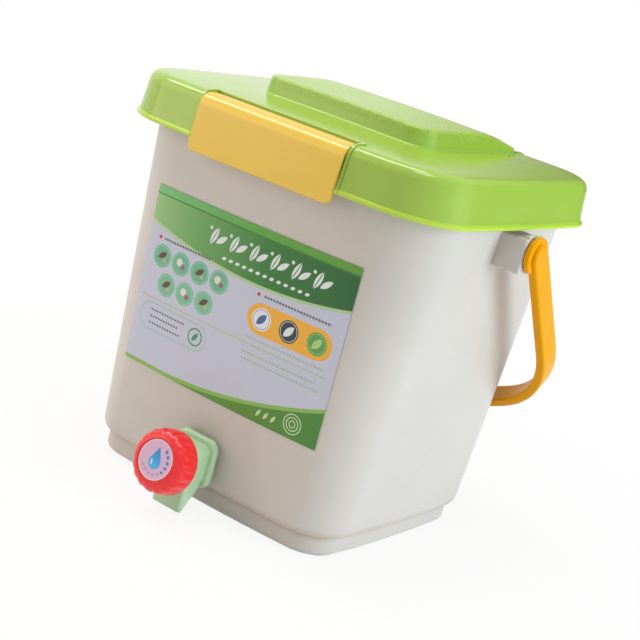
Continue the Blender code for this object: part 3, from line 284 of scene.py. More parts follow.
# Plain plastics: colour, roughness, grain, clouds, any specular level, and their pieces.
PLASTICS = (
    ("yellow_polypropylene", ((0.81, 0.55, 0.06), 0.22, 0.000004, 0.04), "front_latch_flap",
     "rear_latch_flap"),
    ("orange_polypropylene", ((0.83, 0.36, 0.0), 0.36, 0.000004, 0.05, 0.1), "bail_strap"),
    ("pale_green_polypropylene", ((0.5, 0.75, 0.48), 0.34, 0.000006, 0.05), "tap_moulding",
     "tap_plug", "tap_nut"),
    ("red_plastic", ((0.84, 0.016, 0.018), 0.26, 0.000004, 0.06), "knob_cap"),
    ("black_rubber", ((0.03, 0.03, 0.03), 0.62, 0.00002, 0.1), "tap_outer_washer",
     "tap_inner_washer", "tap_o_ring", "lid_seal"),
    ("grey_polypropylene", ((0.6, 0.64, 0.6), 0.42, 0.00001, 0.06), "drain_plate"),
)
LID_ROUGHNESS = 0.17

# Studio. The flag is a dark area in reflections, between two azimuths in radians.
RAYS = ("Camera", "Glossy", "Transmission")
WHITE = (1.0, 1.0, 1.0)
AMBIENT = 0.42
AMBIENT_COLOUR = (1.0, 0.92, 0.84)
FLAG_FROM = 0.56
FLAG_TO = 0.9
FLAG_TOP = 0.62
FLAG_DARK = 0.88
STAGE_SIZE = 6.0
STAGE_Z = -0.0003
STAGE_NEAR = 0.16
STAGE_GLOW = 0.88
# Lights: place, what they aim at, size, power in watts and colour.
LIGHTS = {
    "key": ((1.45, 0.28, 0.5), (0, 0, 0.15), (0.7, 0.9), 15.0, (0.8, 0.94, 1.0)),
    "fill": ((-0.95, -0.95, 0.6), (0, 0, 0.15), (0.9, 0.9), 4.8, (1.0, 0.83, 0.68)),
    "overhead": ((-0.5, -0.1, 1.5), (0, 0, 0.2), (0.35, 1.4), 12.0, WHITE),
    "corner": ((0.3, -0.34, 1.45), (0.1, -0.1, 0.2), (0.5, 0.2), 3.0, WHITE),
}


def deselect():
    if bpy.context.mode != "OBJECT":
        bpy.ops.object.mode_set(mode="OBJECT")
    bpy.ops.object.select_all(action="DESELECT")


def activate(made):
    deselect()
    made.select_set(True)
    bpy.context.view_layer.objects.active = made


def applied(made, kind, **values):
    """Gives a piece a modifier with these values and applies it."""
    activate(made)
    modifier = made.modifiers.new(kind.lower(), kind)
    for key, value in values.items():
        setattr(modifier, key, value)
    bpy.ops.object.modifier_apply(modifier=modifier.name)
    return made


def primitive(name, add, **values):
    """A mesh primitive under this name."""
    deselect()
    add(**values)
    made = bpy.context.object
    made.name = name
    return made


def stacked(name, rings):
    """A circle primitive extruded ring by ring; each new ring is set on its own outline."""
    circle = bpy.ops.mesh.primitive_circle_add
    made = primitive(name, circle, vertices=len(rings[0]), fill_type="NGON")
    bpy.ops.object.mode_set(mode="EDIT")
    bpy.ops.mesh.select_mode(type="EDGE")
    bpy.ops.mesh.select_all(action="SELECT")
    mesh = bmesh.from_edit_mesh(made.data)
    slot = mesh.verts.layers.int.new("slot")
    for i, vert in enumerate(mesh.verts):
        vert[slot] = i
    for level, ring in enumerate(rings):
        if level:
            bpy.ops.mesh.extrude_edges_move()
            mesh = bmesh.from_edit_mesh(made.data)
            slot = mesh.verts.layers.int["slot"]
        for vert in mesh.verts:
            if vert.select:
                vert.co = ring[vert[slot]]
        bmesh.update_edit_mesh(made.data)
    bpy.ops.mesh.edge_face_add()
    bpy.ops.mesh.select_all(action="SELECT")
    bpy.ops.mesh.remove_doubles(threshold=WELD)
    bpy.ops.mesh.normals_make_consistent(inside=False)
    bpy.ops.object.mode_set(mode="OBJECT")
    made.data.attributes.remove(made.data.attributes["slot"])
    return made


def combine(target, other, operation, keep=False):
    """Applies a Boolean with another piece, which is then removed."""
    applied(target, "BOOLEAN", operation=operation, object=other, solver="EXACT")
    if not keep:
        bpy.data.objects.remove(other, do_unlink=True)


def join(target, other):
    combine(target, other, "UNION")


def cut(target, other):
    combine(target, other, "DIFFERENCE")


def rounded(made, width, segments=3, degrees=40):
    """Rounds a piece's sharp edges."""
    limit = radians(degrees)
    return applied(
        made, "BEVEL", width=width, segments=segments, limit_method="ANGLE", angle_limit=limit
    )


def span(side, near, far):
    """Two distances from the middle plane as low and high ends on one side of it."""
    return sorted((side * near, side * far))


def block(name, low, high, edge=0.0):
    """A box primitive at its size and place, with rounded edges."""
    size = [b - a for a, b in zip(low, high)]
    middle = [(a + b) / 2 for a, b in zip(low, high)]
    made = primitive(name, bpy.ops.mesh.primitive_cube_add, size=1, location=middle, scale=size)
    bpy.ops.object.transform_apply()
    return rounded(made, edge) if edge else made


def on_axis(axis, level, u, v):
    """A point at this level of an axis; u and v are the other two coordinates in order."""
    return {"x": (level, u, v), "y": (u, level, v), "z": (u, v, level)}[axis]


def rod(name, axis, radius, low, high, centre, sides=48):
    """A cylinder primitive along one axis; the centre gives the other two in order."""
    made = primitive(
        name, bpy.ops.mesh.primitive_cylinder_add, vertices=sides, radius=radius, depth=high - low,
        location=on_axis(axis, (low + high) / 2, *centre), rotation=TURNED[axis],
    )
    bpy.ops.object.transform_apply()
    return made


def drawn(name, outline_points, axis, low, high):
    """A flat outline carried along one axis, as two stacked rings."""
    ends = (low, high)
    rings = [[Vector(on_axis(axis, end, u, v)) for u, v in outline_points] for end in ends]
    return stacked(name, rings)


def sheet_on(name, columns, rows, side, place, thickness, offset):
    """A grid primitive set on a surface by place(x, row share), and given its thickness."""
    grid = bpy.ops.mesh.primitive_grid_add
    sheet = primitive(name, grid, x_subdivisions=columns, y_subdivisions=rows, size=2)
    for vert in sheet.data.vertices:
        vert.co = place(vert.co.x, (vert.co.y + 1) / 2)
    activate(sheet)
    bpy.ops.object.mode_set(mode="EDIT")
    bpy.ops.mesh.select_all(action="SELECT")
    bpy.ops.mesh.normals_make_consistent(inside=False)
    bpy.ops.object.mode_set(mode="OBJECT")
    face = min(sheet.data.polygons, key=lambda p: p.center.z)
    if face.normal.y * side < 0:
        bpy.ops.object.mode_set(mode="EDIT")
        bpy.ops.mesh.flip_normals()
        bpy.ops.object.mode_set(mode="OBJECT")
    return applied(sheet, "SOLIDIFY", thickness=thickness, offset=offset)


def finish_piece(made, body, node):
    """Shades a piece, makes it ride on its body and stand for its node."""
    activate(made)
    bpy.ops.object.shade_smooth_by_angle(angle=radians(SMOOTH_DEGREES))
    applied(made, "WEIGHTED_NORMAL", keep_sharp=True)
    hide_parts(node)
    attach(made, body)


def corner_arcs(half_u, half_v, corner, steps):
    """A rounded rectangle's four corners, each as a list of points, anticlockwise."""
    arcs = []
    for quarter, (su, sv) in enumerate(((1, 1), (-1, 1), (-1, -1), (1, -1))):
        angles = [(quarter + i / steps) * pi / 2 for i in range(steps + 1)]
        u, v = su * (half_u - corner), sv * (half_v - corner)
        arcs.append([(u + corner * math.cos(a), v + corner * math.sin(a)) for a in angles])
    return arcs


def rounded_square(half_u, half_v, corner, centre=(0.0, 0.0), steps=8):
    corners = corner_arcs(half_u, half_v, corner, steps)
    return [(centre[0] + u, centre[1] + v) for points in corners for u, v in points]


def mirrored(points, side):
    return [(side * y, z) for y, z in points]


def between(start, end, share):
    return tuple(a + share * (b - a) for a, b in zip(start, end))


def outline(half_x, half_y, corner, centre_y=0.0, bow=1.0):
    """A rounded rectangle whose four sides bow outwards, as (x, y) pairs."""
    corners = corner_arcs(half_x, half_y, corner, CORNER_STEPS)
    points = []
    for here, following in zip(corners, corners[1:] + corners[:1]):
        shares = [i / EDGE_STEPS for i in range(1, EDGE_STEPS)]
        points += here + [between(here[-1], following[0], share) for share in shares]
    return [bowed(x, y, half_x, half_y, centre_y, bow) for x, y in points]


def bowed(x, y, half_x, half_y, centre_y=0.0, bow=1.0):
    in_x = bow * BOW_SIDE * (y / half_y) ** 2 * (x / half_x) ** 2
    in_y = bow * BOW_FRONT * (x / half_x) ** 2 * (y / half_y) ** 2
    return x - math.copysign(in_x, x), y - math.copysign(in_y, y) + centre_y


def lifted(points, level):
    if callable(level):
        return [Vector((x, y, level(x, y))) for x, y in points]
    return [Vector((x, y, level)) for x, y in points]


def body_sizes(z, offset=0.0):
    below = REFERENCE_Z - max(z, SHOULDER_Z)
    half_x = BODY_HALF[0] - below * BODY_SLOPE[0] + offset
    half_y = BODY_HALF[1] - below * BODY_SLOPE[1] + offset
    return half_x, half_y, BODY_CORNER - below * CORNER_SLOPE + offset


def body_ring(z, offset=0.0):
    return lifted(outline(*body_sizes(z, offset)), z)


def wall_y(z):
    return body_sizes(z)[1]


def wall_point(x, z, offset):
    """The front wall's outside at this x and z, moved out by the offset."""
    half_x, half_y, corner = body_sizes(z, offset)
    beyond = max(0.0, abs(x) - (half_x - corner))
    y = half_y - corner + sqrt(corner**2 - beyond**2)
    new_x, new_y = bowed(x, y, half_x, half_y)
    return Vector((new_x, -new_y, z))


def arc(steps, start=0.0, end=1.0):
    """(cos, sin) along a quarter circle, from one share of it to another."""
    for i in range(steps + 1):
        angle = (start + (end - start) * i / steps) * pi / 2
        yield math.cos(angle), math.sin(angle)


def bucket_rings():
    """Rings up the bucket's outside from under its foot, over its rim and down its inside."""
    foot = -FOOT_INSET
    rise = SHOULDER_Z - GROOVE_Z
    bead_z = RIM_Z - RIM_BEAD_HEIGHT
    top_z = RIM_Z - RIM_ROUND
    rings = [
        body_ring(FOOT_ROUND * (1 + sin), foot - FOOT_ROUND * (1 - cos))
        for cos, sin in arc(6, -1, 0)
    ]
    rings += [body_ring(GROOVE_Z + up, foot - inwards) for up, inwards in GROOVE_STEPS]
    for cos, sin in arc(10):
        z = GROOVE_Z + rise * (1 - cos) + GROOVE_LIFT
        rings.append(body_ring(z, foot * (1 - sin) ** SHOULDER_POWER))
    rings += [body_ring(SHOULDER_Z + (bead_z - SHOULDER_Z) * i / 8) for i in range(1, 9)]
    rings += [body_ring(bead_z + RIM_BEAD * (1 - cos), RIM_BEAD * sin) for cos, sin in arc(4)]
    for cos, sin in arc(3):
        rings.append(body_ring(top_z + RIM_ROUND * sin, RIM_BEAD - RIM_ROUND + RIM_ROUND * cos))
    for cos, sin in arc(3, 1, 0):
        rings.append(body_ring(top_z + RIM_ROUND * sin, -WALL + RIM_ROUND - RIM_ROUND * cos))
    rings += [body_ring(top_z - (top_z - SHOULDER_Z) * i / 8, -WALL) for i in range(1, 9)]
    for cos, sin in arc(8, 1, 0):
        inwards = foot * (1 - sin) ** SHOULDER_POWER
        rings.append(body_ring(GROOVE_Z + rise * (1 - cos), inwards - WALL))
    rings.append(body_ring(FLOOR + FOOT_ROUND, foot - WALL))
    for cos, sin in arc(4):
        z = FLOOR + FOOT_ROUND * (1 - sin)
        rings.append(body_ring(z, foot - WALL - FOOT_ROUND * (1 - cos)))
    return rings


def make_bucket():
    bucket = stacked("bucket_shell", bucket_rings())
    ledge_y = wall_y(LEDGE_Z[0])
    for side in (-1, 1):
        near, far = span(side, BOSS_LOW[0], BOSS_HIGH[0])
        low, high = (near, *BOSS_LOW[1:]), (far, *BOSS_HIGH[1:])
        join(bucket, block("boss", low, high, BOSS_EDGE))
        near, far = span(side, BOSS_HIGH[0] - LUG_INSET[0], BOSS_HIGH[0] - LUG_INSET[1])
        low = (near, BOSS_LOW[1] + LUG_MARGIN, BOSS_HIGH[2] - LUG_ROOT)
        high = (far, BOSS_HIGH[1] - LUG_MARGIN, BOSS_HIGH[2] + LUG_HEIGHT)
        join(bucket, block("lug", low, high, LUG_EDGE))
        ends = span(side, *PIN_HOLE_X)
        cut(bucket, rod("pin_hole", "x", PIN_HOLE, *ends, BAIL_CENTRE))
        near, far = span(side, ledge_y - LEDGE_ROOT, ledge_y + LEDGE_REACH)
        low, high = (-LEDGE_HALF_X, near, LEDGE_Z[0]), (LEDGE_HALF_X, far, LEDGE_Z[1])
        join(bucket, block("ledge", low, high, LEDGE_EDGE))
    square = rounded_square(TAP_SEAT_HALF, TAP_SEAT_HALF, TAP_SEAT_CORNER, TAP_CENTRE)
    seat = drawn("tap_seat", square, "y", *TAP_SEAT_Y)
    join(bucket, rounded(seat, TAP_SEAT_EDGE))
    cut(bucket, rod("tap_hole", "y", TAP_HOLE, *TAP_HOLE_Y, TAP_CENTRE))
    finish_piece(bucket, "bin", "bucket")


# Lid.


def lid_sizes(offset):
    return BODY_HALF[0] + offset, BODY_HALF[1] + offset, BODY_CORNER + offset - LID_CORNER_CUT


def lid_ring(level, offset):
    return lifted(outline(*lid_sizes(offset)), level)


def lid_floor(x, y):
    half_x, half_y, _ = lid_sizes(EDGE_OFFSET)
    across = max(0.0, 1 - (x / half_x) ** 2)
    along = max(0.0, 1 - (y / half_y) ** 2)
    return LID_TOP_Z + CROWN * across * along


def deck_rise(y):
    """Height of the platform over the floor: full in front, falling to the rear."""
    share = (y - DECK_Y[0]) / (DECK_Y[1] - DECK_Y[0])
    t = min(1.0, max(0.0, (share - DECK_CREST) / (1 - DECK_CREST)))
    return DECK_HEIGHT * (1 - t * t * (3 - 2 * t) * (1 - DECK_TAIL))


def deck_outline(half_x, half_y, corner):
    return outline(half_x, half_y, corner, DECK_CENTRE_Y, DECK_BOW)


def deck_ring(inset, rise_share, drop, thickness=0.0):
    corner = max(DECK_CORNER - inset, DECK_CORNER / 4)
    points = deck_outline(DECK_HALF_X - inset, DECK_HALF_Y - inset, corner)

    def level(x, y):
        rise = deck_rise(y)
        return lid_floor(x, y) + rise * rise_share - drop * rise / DECK_HEIGHT - thickness

    return lifted(points, level)


def deck_top(share, thickness=0.0):
    inset = DECK_EDGE * 2
    half_x = (DECK_HALF_X - inset) * share
    half_y = (DECK_HALF_Y - inset) * share
    points = deck_outline(half_x, half_y, min(half_x, half_y) * 0.4)
    return lifted(points, lambda x, y: lid_floor(x, y) + deck_rise(y) - thickness)


def floor_ring(share, thickness=0.0):
    outer = outline(*lid_sizes(EDGE_OFFSET))
    inset = -DECK_DRAFT - DECK_EDGE / 2
    half_x, half_y = DECK_HALF_X - inset, DECK_HALF_Y - inset
    inner = deck_outline(half_x, half_y, DECK_CORNER - inset)
    points = [between(a, b, share) for a, b in zip(outer, inner)]
    return lifted(points, lambda x, y: lid_floor(x, y) - thickness)


def edge_rings(radius, *along):
    """Rings over the lid's rounded edge, at this radius from its centre line."""
    z, offset = EDGE_Z, EDGE_OFFSET
    return [lid_ring(z + radius * sin, offset + radius * cos) for cos, sin in arc(*along)]


def lid_outside(extra=0.0):
    """Rings over the lid's outside, from its lip to the middle of its platform."""
    half = LIP_HEIGHT / 2
    rings = []
    for cos, sin in arc(5, -1, 1):
        offset = LIP_OFFSET - half * LIP_FLATTEN * (1 - cos) + extra
        rings.append(lid_ring(LIP_Z + half + half * sin, offset))
    for i in range(4):
        z, offset = between((SKIRT_LOW_Z, SKIRT_OFFSET), (EDGE_Z, SKIRT_TOP_OFFSET), i / 4)
        rings.append(lid_ring(z, offset + extra))
    rings += edge_rings(EDGE_ROUND + extra, 9)[:-1]
    rings += [floor_ring(share, -extra) for share in FLOOR_SHARES]
    for cos, sin in arc(4):
        inset = -DECK_DRAFT - DECK_FOOT * (1 - sin)
        rings.append(deck_ring(inset, DECK_FOOT_RISE * (1 - cos), 0.0))
    rings.append(deck_ring(-DECK_DRAFT * 0.5, 0.5, 0.0))
    edge = DECK_EDGE
    rings += [deck_ring(edge * (1 - cos), 1.0, edge * (1 - sin)) for cos, sin in arc(6)]
    return rings + [deck_top(share) for share in DECK_SHARES]


def lid_inside():
    """Rings over the lid's underside, from the middle out to the lip."""
    wall = LID_WALL
    rings = [deck_top(share, wall) for share in DECK_INNER_SHARES]
    for inset, rise_share, drop in (
        (DECK_EDGE + wall * 0.8, 1.0, 0.0), (wall, 1.0, DECK_EDGE * 0.7),
        (wall - DECK_DRAFT, 0.0, 0.0),
    ):
        rings.append(deck_ring(inset, rise_share, drop, wall))
    rings += [floor_ring(share, wall) for share in (0.95, 0.35)]
    under = LID_TOP_Z - wall
    radius = EDGE_ROUND - wall
    reach = body_sizes(RIM_Z, PRESS[1])[0] - lid_sizes(EDGE_OFFSET)[0]
    top = EDGE_Z + sqrt(radius**2 - reach**2) - 0.0003
    for z, offset in (
        (under, RIB_OFFSET - RIB_WIDTH), (RIB_Z, RIB_OFFSET - RIB_WIDTH), (RIB_Z, RIB_OFFSET),
        (under, RIB_OFFSET), (under, PRESS[0]), (PRESS_Z, PRESS[0]), (PRESS_Z, PRESS[1]),
        (top, PRESS[1]),
    ):
        rings.append(lifted(outline(*body_sizes(RIM_Z, offset)), z))
    rings += edge_rings(radius, 3, 0.45, 0.0)
    rings.append(lid_ring(LIP_Z + LIP_HEIGHT, SKIRT_OFFSET - wall))
    rings.append(lid_ring(LIP_Z + 0.0006, SKIRT_OFFSET - wall + 0.0003))
    return rings


def recess_profile(back, floor_z, wall_low, lip_z):
    """(out, z) round a latch recess: up its back, out over the lid, down and back in."""
    return [
        (back, floor_z), (back, ABOVE_Z), (BEYOND_Y, ABOVE_Z), (BEYOND_Y, lip_z), wall_low,
        (wall_low[0], floor_z),
    ]


def make_lid():
    lid = stacked("lid_shell", lid_inside() + lid_outside())
    filled = stacked("filled", lid_outside())
    swollen = stacked("swollen", lid_outside(BORDER_RISE))
    half = LATCH_HALF_X + LATCH_GAP
    below_z = LIP_Z - LIP_HEIGHT
    thick_wall_y = RECESS_WALL_Y - RECESS_SHEET
    for side in (-1, 1):
        for end in (-1, 1):
            ends, reach = span(end, half - 0.001, half + RIDGE), span(side, RECESS_BACK_Y, BEYOND_Y)
            low, high = zip(ends, reach, (LIP_Z + 0.001, ABOVE_Z))
            border = block("border", low, high)
            combine(border, swollen, "INTERSECT", keep=True)
            join(lid, rounded(border, BORDER_EDGE, 2, 50))
        profile = recess_profile(
            RECESS_BACK_Y - RECESS_SHEET, RECESS_FLOOR_Z - RECESS_SHEET,
            (thick_wall_y, LIP_Z + LIP_HEIGHT * 3), LIP_Z + LIP_HEIGHT,
        )
        solid = drawn("recess_block", mirrored(profile, side), "x", -half - CHEEK, half + CHEEK)
        combine(solid, filled, "INTERSECT", keep=True)
        join(lid, solid)
        profile = recess_profile(RECESS_BACK_Y, RECESS_FLOOR_Z, (RECESS_WALL_Y, below_z), below_z)
        cut(lid, drawn("recess", mirrored(profile, side), "x", -half, half))
        near, far = span(side, RECESS_WALL_Y - 0.004, BEYOND_Y)
        low, high = (-half, near, below_z), (half, far, RECESS_OPEN_Z)
        cut(lid, block("opened", low, high))
        near, far = span(side, RECESS_BACK_Y - RIDGE, RECESS_BACK_Y)
        low, high = (-half - RIDGE, near, LID_TOP_Z - 0.001), (half + RIDGE, far, RIDGE_Z)
        join(lid, block("ridge", low, high, RIDGE_EDGE))
        ends = (-half - TRUNNION_HOLE_DEPTH, half + TRUNNION_HOLE_DEPTH)
        pins = rod("pins", "x", TRUNNION_HOLE, *ends, (side * LATCH_AXIS[0], LATCH_AXIS[1]))
        cut(lid, pins)
    for helper in (filled, swollen):
        bpy.data.objects.remove(helper, do_unlink=True)
    finish_piece(lid, "lid_assembly", "lid")


# Latches.


def latch_spine():
    """(out, z) along the latch's outer face, from its hinge to its lower edge."""
    reach = LATCH_ARC_Y - LATCH_AXIS[0]
    spine = [(LATCH_AXIS[0] + reach * i / 6, LATCH_TOP_Z) for i in range(6)]
    for cos, sin in arc(14, 1, 0):
        spine.append((LATCH_ARC_Y + LATCH_ARC * cos, LATCH_ARC_Z + LATCH_ARC * sin))
    for i in range(1, LATCH_STEPS + 1):
        share = (i / LATCH_STEPS) ** 0.8
        out = LATCH_ARC_Y + LATCH_ARC + LATCH_FLARE * share
        spine.append((out, LATCH_ARC_Z + (LATCH_BOTTOM_Z - LATCH_ARC_Z) * share))
    return spine


def latch_inner(z):
    """How far out the latch's inner face is at this level, below its rounded top."""
    flare = LATCH_FLARE * (LATCH_ARC_Z - z) / (LATCH_ARC_Z - LATCH_BOTTOM_Z)
    return LATCH_ARC_Y + LATCH_ARC - LATCH_SHEET + flare


def latch_half(z):
    """Half the latch's width at this level: its two lower corners are rounded."""
    up = z - LATCH_BOTTOM_Z
    if up >= LATCH_CORNER:
        return LATCH_HALF_X
    return LATCH_HALF_X - LATCH_CORNER + sqrt(LATCH_CORNER**2 - (LATCH_CORNER - up) ** 2)


def make_latch(side, name, body, node):
    spine = latch_spine()

    def place(x, share):
        out, z = spine[round(share * (len(spine) - 1))]
        return x * latch_half(z), side * out, z

    sheet = sheet_on(name, 24, len(spine) - 1, side, place, LATCH_SHEET, -1)
    rounded(sheet, LATCH_EDGE, 3, 50)
    half = LATCH_HALF_X
    axis = (side * LATCH_AXIS[0], LATCH_AXIS[1])
    barrel = rounded(rod("barrel", "x", LATCH_BARREL, -half, half, axis, 32), BARREL_EDGE, 2)
    join(sheet, barrel)
    pins = rod("pins", "x", TRUNNION, -half - TRUNNION_REACH, half + TRUNNION_REACH, axis, 24)
    join(sheet, pins)
    top = LEDGE_Z[0] - HOOK_GAP
    tip = wall_y(LEDGE_Z[0]) + LEDGE_REACH + HOOK_GAP
    root = latch_inner(top) + HOOK_ROOT
    profile = [(tip, top), (root, top), (root + 0.0002, top - 0.006), (tip, top - 0.003)]
    hook_half = half * HOOK_SHARE
    hook = drawn("hook", mirrored(profile, side), "x", -hook_half, hook_half)
    join(sheet, rounded(hook, HOOK_EDGE, 2))
    profile = [(latch_inner(z) + depth, z) for z, depth in LATCH_RIB_EDGES]
    for x in LATCH_RIBS_X:
        rib = drawn("rib", mirrored(profile, side), "x", x - LATCH_RIB_HALF, x + LATCH_RIB_HALF)
        join(sheet, rib)
    finish_piece(sheet, body, node)


# Bail.


def bail_path():
    """(x, along, angle) down one arm, round its corner, over the shallow bow and back up."""
    middle = BAIL_INNER_X + BAIL_THICK / 2
    corner_x = middle - BAIL_CORNER
    bow = BAIL_CORNER + corner_x / math.cos(BAIL_TURN)
    bow_along = (bow - BAIL_CORNER) * math.sin(BAIL_TURN) - BAIL_ARM
    right = [(middle, -BAIL_ARM * i / 12, 0.0) for i in range(12)]
    for i in range(19):
        angle = BAIL_TURN * i / 18
        x = corner_x + BAIL_CORNER * math.cos(angle)
        right.append((x, -BAIL_ARM - BAIL_CORNER * math.sin(angle), angle))
    for i in range(1, 13):
        angle = BAIL_TURN + (pi / 2 - BAIL_TURN) * i / 12
        right.append((bow * math.cos(angle), bow_along - bow * math.sin(angle), angle))
    left = [(-x, along, pi - angle) for x, along, angle in reversed(right[:-1])]
    return right + left


def in_bail_plane(x, along, across):
    """A point of the bail: along its arms, across its plane, turned to where it rests."""
    cos, sin = math.cos(BAIL_REST), math.sin(BAIL_REST)
    return Vector((x, across * cos - along * sin, BAIL_Z + across * sin + along * cos))


def make_bail():
    section = rounded_square(BAIL_THICK / 2 - BAIL_FIT, BAIL_WIDE / 2, BAIL_EDGE, steps=6)
    rings = []
    for x, along, angle in bail_path():
        cos, sin = math.cos(angle), math.sin(angle)
        rings.append([in_bail_plane(x + out * cos, along - out * sin, to) for out, to in section])
    bail = stacked("bail_strap", rings)
    near = BAIL_INNER_X
    for side in (-1, 1):
        ends = span(side, near + BAIL_FIT, near + BAIL_THICK)
        dome = rod("dome", "x", BAIL_WIDE / 2 + BAIL_FIT, *ends, BAIL_CENTRE, 96)
        join(bail, rounded(dome, BAIL_DOME_EDGE, 6))
        ear = rod("ear", "x", BAIL_EAR, *span(side, near, near + BAIL_EAR_THICK), BAIL_CENTRE, 96)
        join(bail, rounded(ear, BAIL_EAR_EDGE, 5))
        ends = span(side, BAIL_PIN_X, near + 0.002)
        join(bail, rod("pin", "x", BAIL_PIN, *ends, BAIL_CENTRE, 40))
    finish_piece(bail, "bail", "bail_handle")


# Tap.


def tilt(made):
    """Turns a piece about the middle of the knob's rear, so that it looks a little upwards."""
    pivot = Vector((0, KNOB_REAR_Y, TAP_Z))
    turn = Matrix.Rotation(-KNOB_TILT, 4, "X")
    activate(made)
    made.rotation_euler = (-KNOB_TILT, 0, 0)
    made.location = pivot - turn @ pivot
    bpy.ops.object.transform_apply()
    return made


def make_spout():
    """The square spout, narrower downwards and cut off at a slant below."""
    rings = []
    for i in range(9):
        share = i / 8
        size = 1 - SPOUT_TAPER * share
        half = SPOUT_HALF[0] * size, SPOUT_HALF[1] * size
        points = rounded_square(*half, SPOUT_CORNER, SPOUT_CENTRE, 8)
        rings.append(lifted(points, TAP_Z + (SPOUT_BOTTOM_Z - TAP_Z) * share))
    spout = stacked("spout", rings)
    front, rear = SPOUT_Y - SPOUT_HALF[1] * (1 - SPOUT_TAPER) + SPOUT_LIP, FLANGE_Y[0] + SPOUT_LIP
    low = SPOUT_BOTTOM_Z - 0.003
    slant_z = SPOUT_BOTTOM_Z + (rear - front) * SPOUT_SLANT
    slant = [(front, low), (front, SPOUT_BOTTOM_Z), (rear, slant_z), (rear, low)]
    cut(spout, drawn("slant", slant, "x", -0.03, 0.03))
    return rounded(spout, SPOUT_EDGE, 2, 38)


def make_tap_body():
    square = rounded_square(FLANGE_HALF, FLANGE_HALF, FLANGE_CORNER, TAP_CENTRE, 12)
    body = rounded(drawn("tap_moulding", square, "y", *FLANGE_Y), FLANGE_EDGE, 6)
    square = rounded_square(BLOCK_HALF, BLOCK_HALF, BLOCK_CORNER, TAP_CENTRE, 12)
    solid = rounded(drawn("block", square, "y", BLOCK_FRONT_Y, BLOCK_REAR_Y), BLOCK_EDGE, 5)
    join(body, solid)
    neck = rod("neck", "y", NECK, NECK_FRONT_Y, BLOCK_FRONT_Y + NECK_ROOT, TAP_CENTRE, 64)
    join(body, tilt(rounded(neck, NECK_EDGE, 2)))
    join(body, rod("shank", "y", SHANK, *SHANK_Y, TAP_CENTRE, 64))
    join(body, make_spout())
    chamber = rod("chamber", "y", CHAMBER, FAR_FRONT_Y, FLANGE_Y[0] - 0.0003, TAP_CENTRE)
    cut(body, tilt(chamber))
    cut(body, rod("inlet", "y", BORE, *INLET_Y, TAP_CENTRE, 40))
    cut(body, rod("outlet", "z", BORE, -0.02, TAP_Z, SPOUT_CENTRE, 40))
    finish_piece(body, "bin", "tap_body")


def knob_ring(y, radius, depth=0.0):
    """A ring round the tap's axis, drawn in between its lobes by the depth."""
    ring = []
    count = KNOB_LOBES * 14
    for i in range(count):
        angle = 2 * pi * i / count
        wave = abs(math.sin(angle * KNOB_LOBES / 2)) ** 0.8
        size = radius - depth * (1 - wave)
        ring.append(Vector((size * math.cos(angle), y, TAP_Z + size * math.sin(angle))))
    return ring


def make_knob():
    rear, front = KNOB_REAR_Y, KNOB_FRONT_Y
    rings = [knob_ring(rear + y, KNOB - inset, depth) for y, inset, depth in KNOB_SIDE]
    rings += [knob_ring(front + y, KNOB - inset, depth) for y, inset, depth in KNOB_SHOULDER]
    rings += [knob_ring(front + y, STICKER + outset) for y, outset in KNOB_RECESS]
    rings.append(knob_ring(front + RECESS_DEPTH, KNOB_MIDDLE))
    knob = stacked("knob_cap", rings)
    hollow = [knob_ring(front + y, radius) for y, radius in KNOB_HOLLOW]
    hollow.append(knob_ring(rear + 0.002, KNOB_HOLLOW[-1][1]))
    cut(knob, stacked("cavity", hollow))
    join(knob, rod("hub", "y", 0.008, front + 0.0024, front + 0.0137, TAP_CENTRE))
    cut(knob, rod("socket", "y", 0.0053, NECK_FRONT_Y - 0.0081, -0.06, TAP_CENTRE))
    cut(knob, rod("seat", "y", 0.0042, FAR_FRONT_Y, front + 0.0046, TAP_CENTRE))
    finish_piece(tilt(knob), "tap_handle", "tap_knob")


def make_sticker():
    low = KNOB_FRONT_Y + RECESS_DEPTH - STICKER_GAP - STICKER_THICK
    disc = rod("sticker_disc", "y", STICKER, low, low + STICKER_THICK, TAP_CENTRE, 96)
    sticker = tilt(rounded(disc, STICKER_EDGE, 2))
    finish_piece(sticker, "tap_handle", "tap_knob_sticker")


# Label.


def make_label():
    """A thin film on the front wall."""
    def place(x, share):
        z, half = between(*zip(LABEL_Z, LABEL_HALF), share)
        return wall_point(x * half, z, LABEL_OFFSET)

    film = sheet_on("label_film", 96, 40, -1, place, LABEL_THICK, 1)
    finish_piece(film, "bin", "front_label")


# Materials.


class Wire:
    """A node's output. Arithmetic on it adds Math nodes."""

    def __init__(self, nodes, socket):
        self.nodes, self.socket = nodes, socket

    def math(self, operation, *others, clamp=False):
        settings = {"operation": operation, "use_clamp": clamp}
        return self.nodes.node("ShaderNodeMath", settings, [self, *others])

    __add__ = partialmethod(math, "ADD")
    __sub__ = partialmethod(math, "SUBTRACT")
    __mul__ = __rmul__ = partialmethod(math, "MULTIPLY")
    abs = partialmethod(math, "ABSOLUTE")
    min = partialmethod(math, "MINIMUM")
    max = partialmethod(math, "MAXIMUM")
    clamped = partialmethod(math, "ADD", 0.0, clamp=True)

    def __rsub__(self, other):
        return (self * -1) + other

    def wrapped(self, period):
        return self.math("WRAP", period / 2, -period / 2)


def opaque(colour):
    return colour if isinstance(colour, Wire) else (*colour, 1.0)


def darker(colour, share):
    return tuple(c * share for c in colour)


def linear(code):
    """A colour given by its sRGB code."""
    shares = [(code >> shift & 255) / 255 for shift in (16, 8, 0)]
    return tuple(c / 12.92 if c <= 0.04045 else ((c + 0.055) / 1.055) ** 2.4 for c in shares)


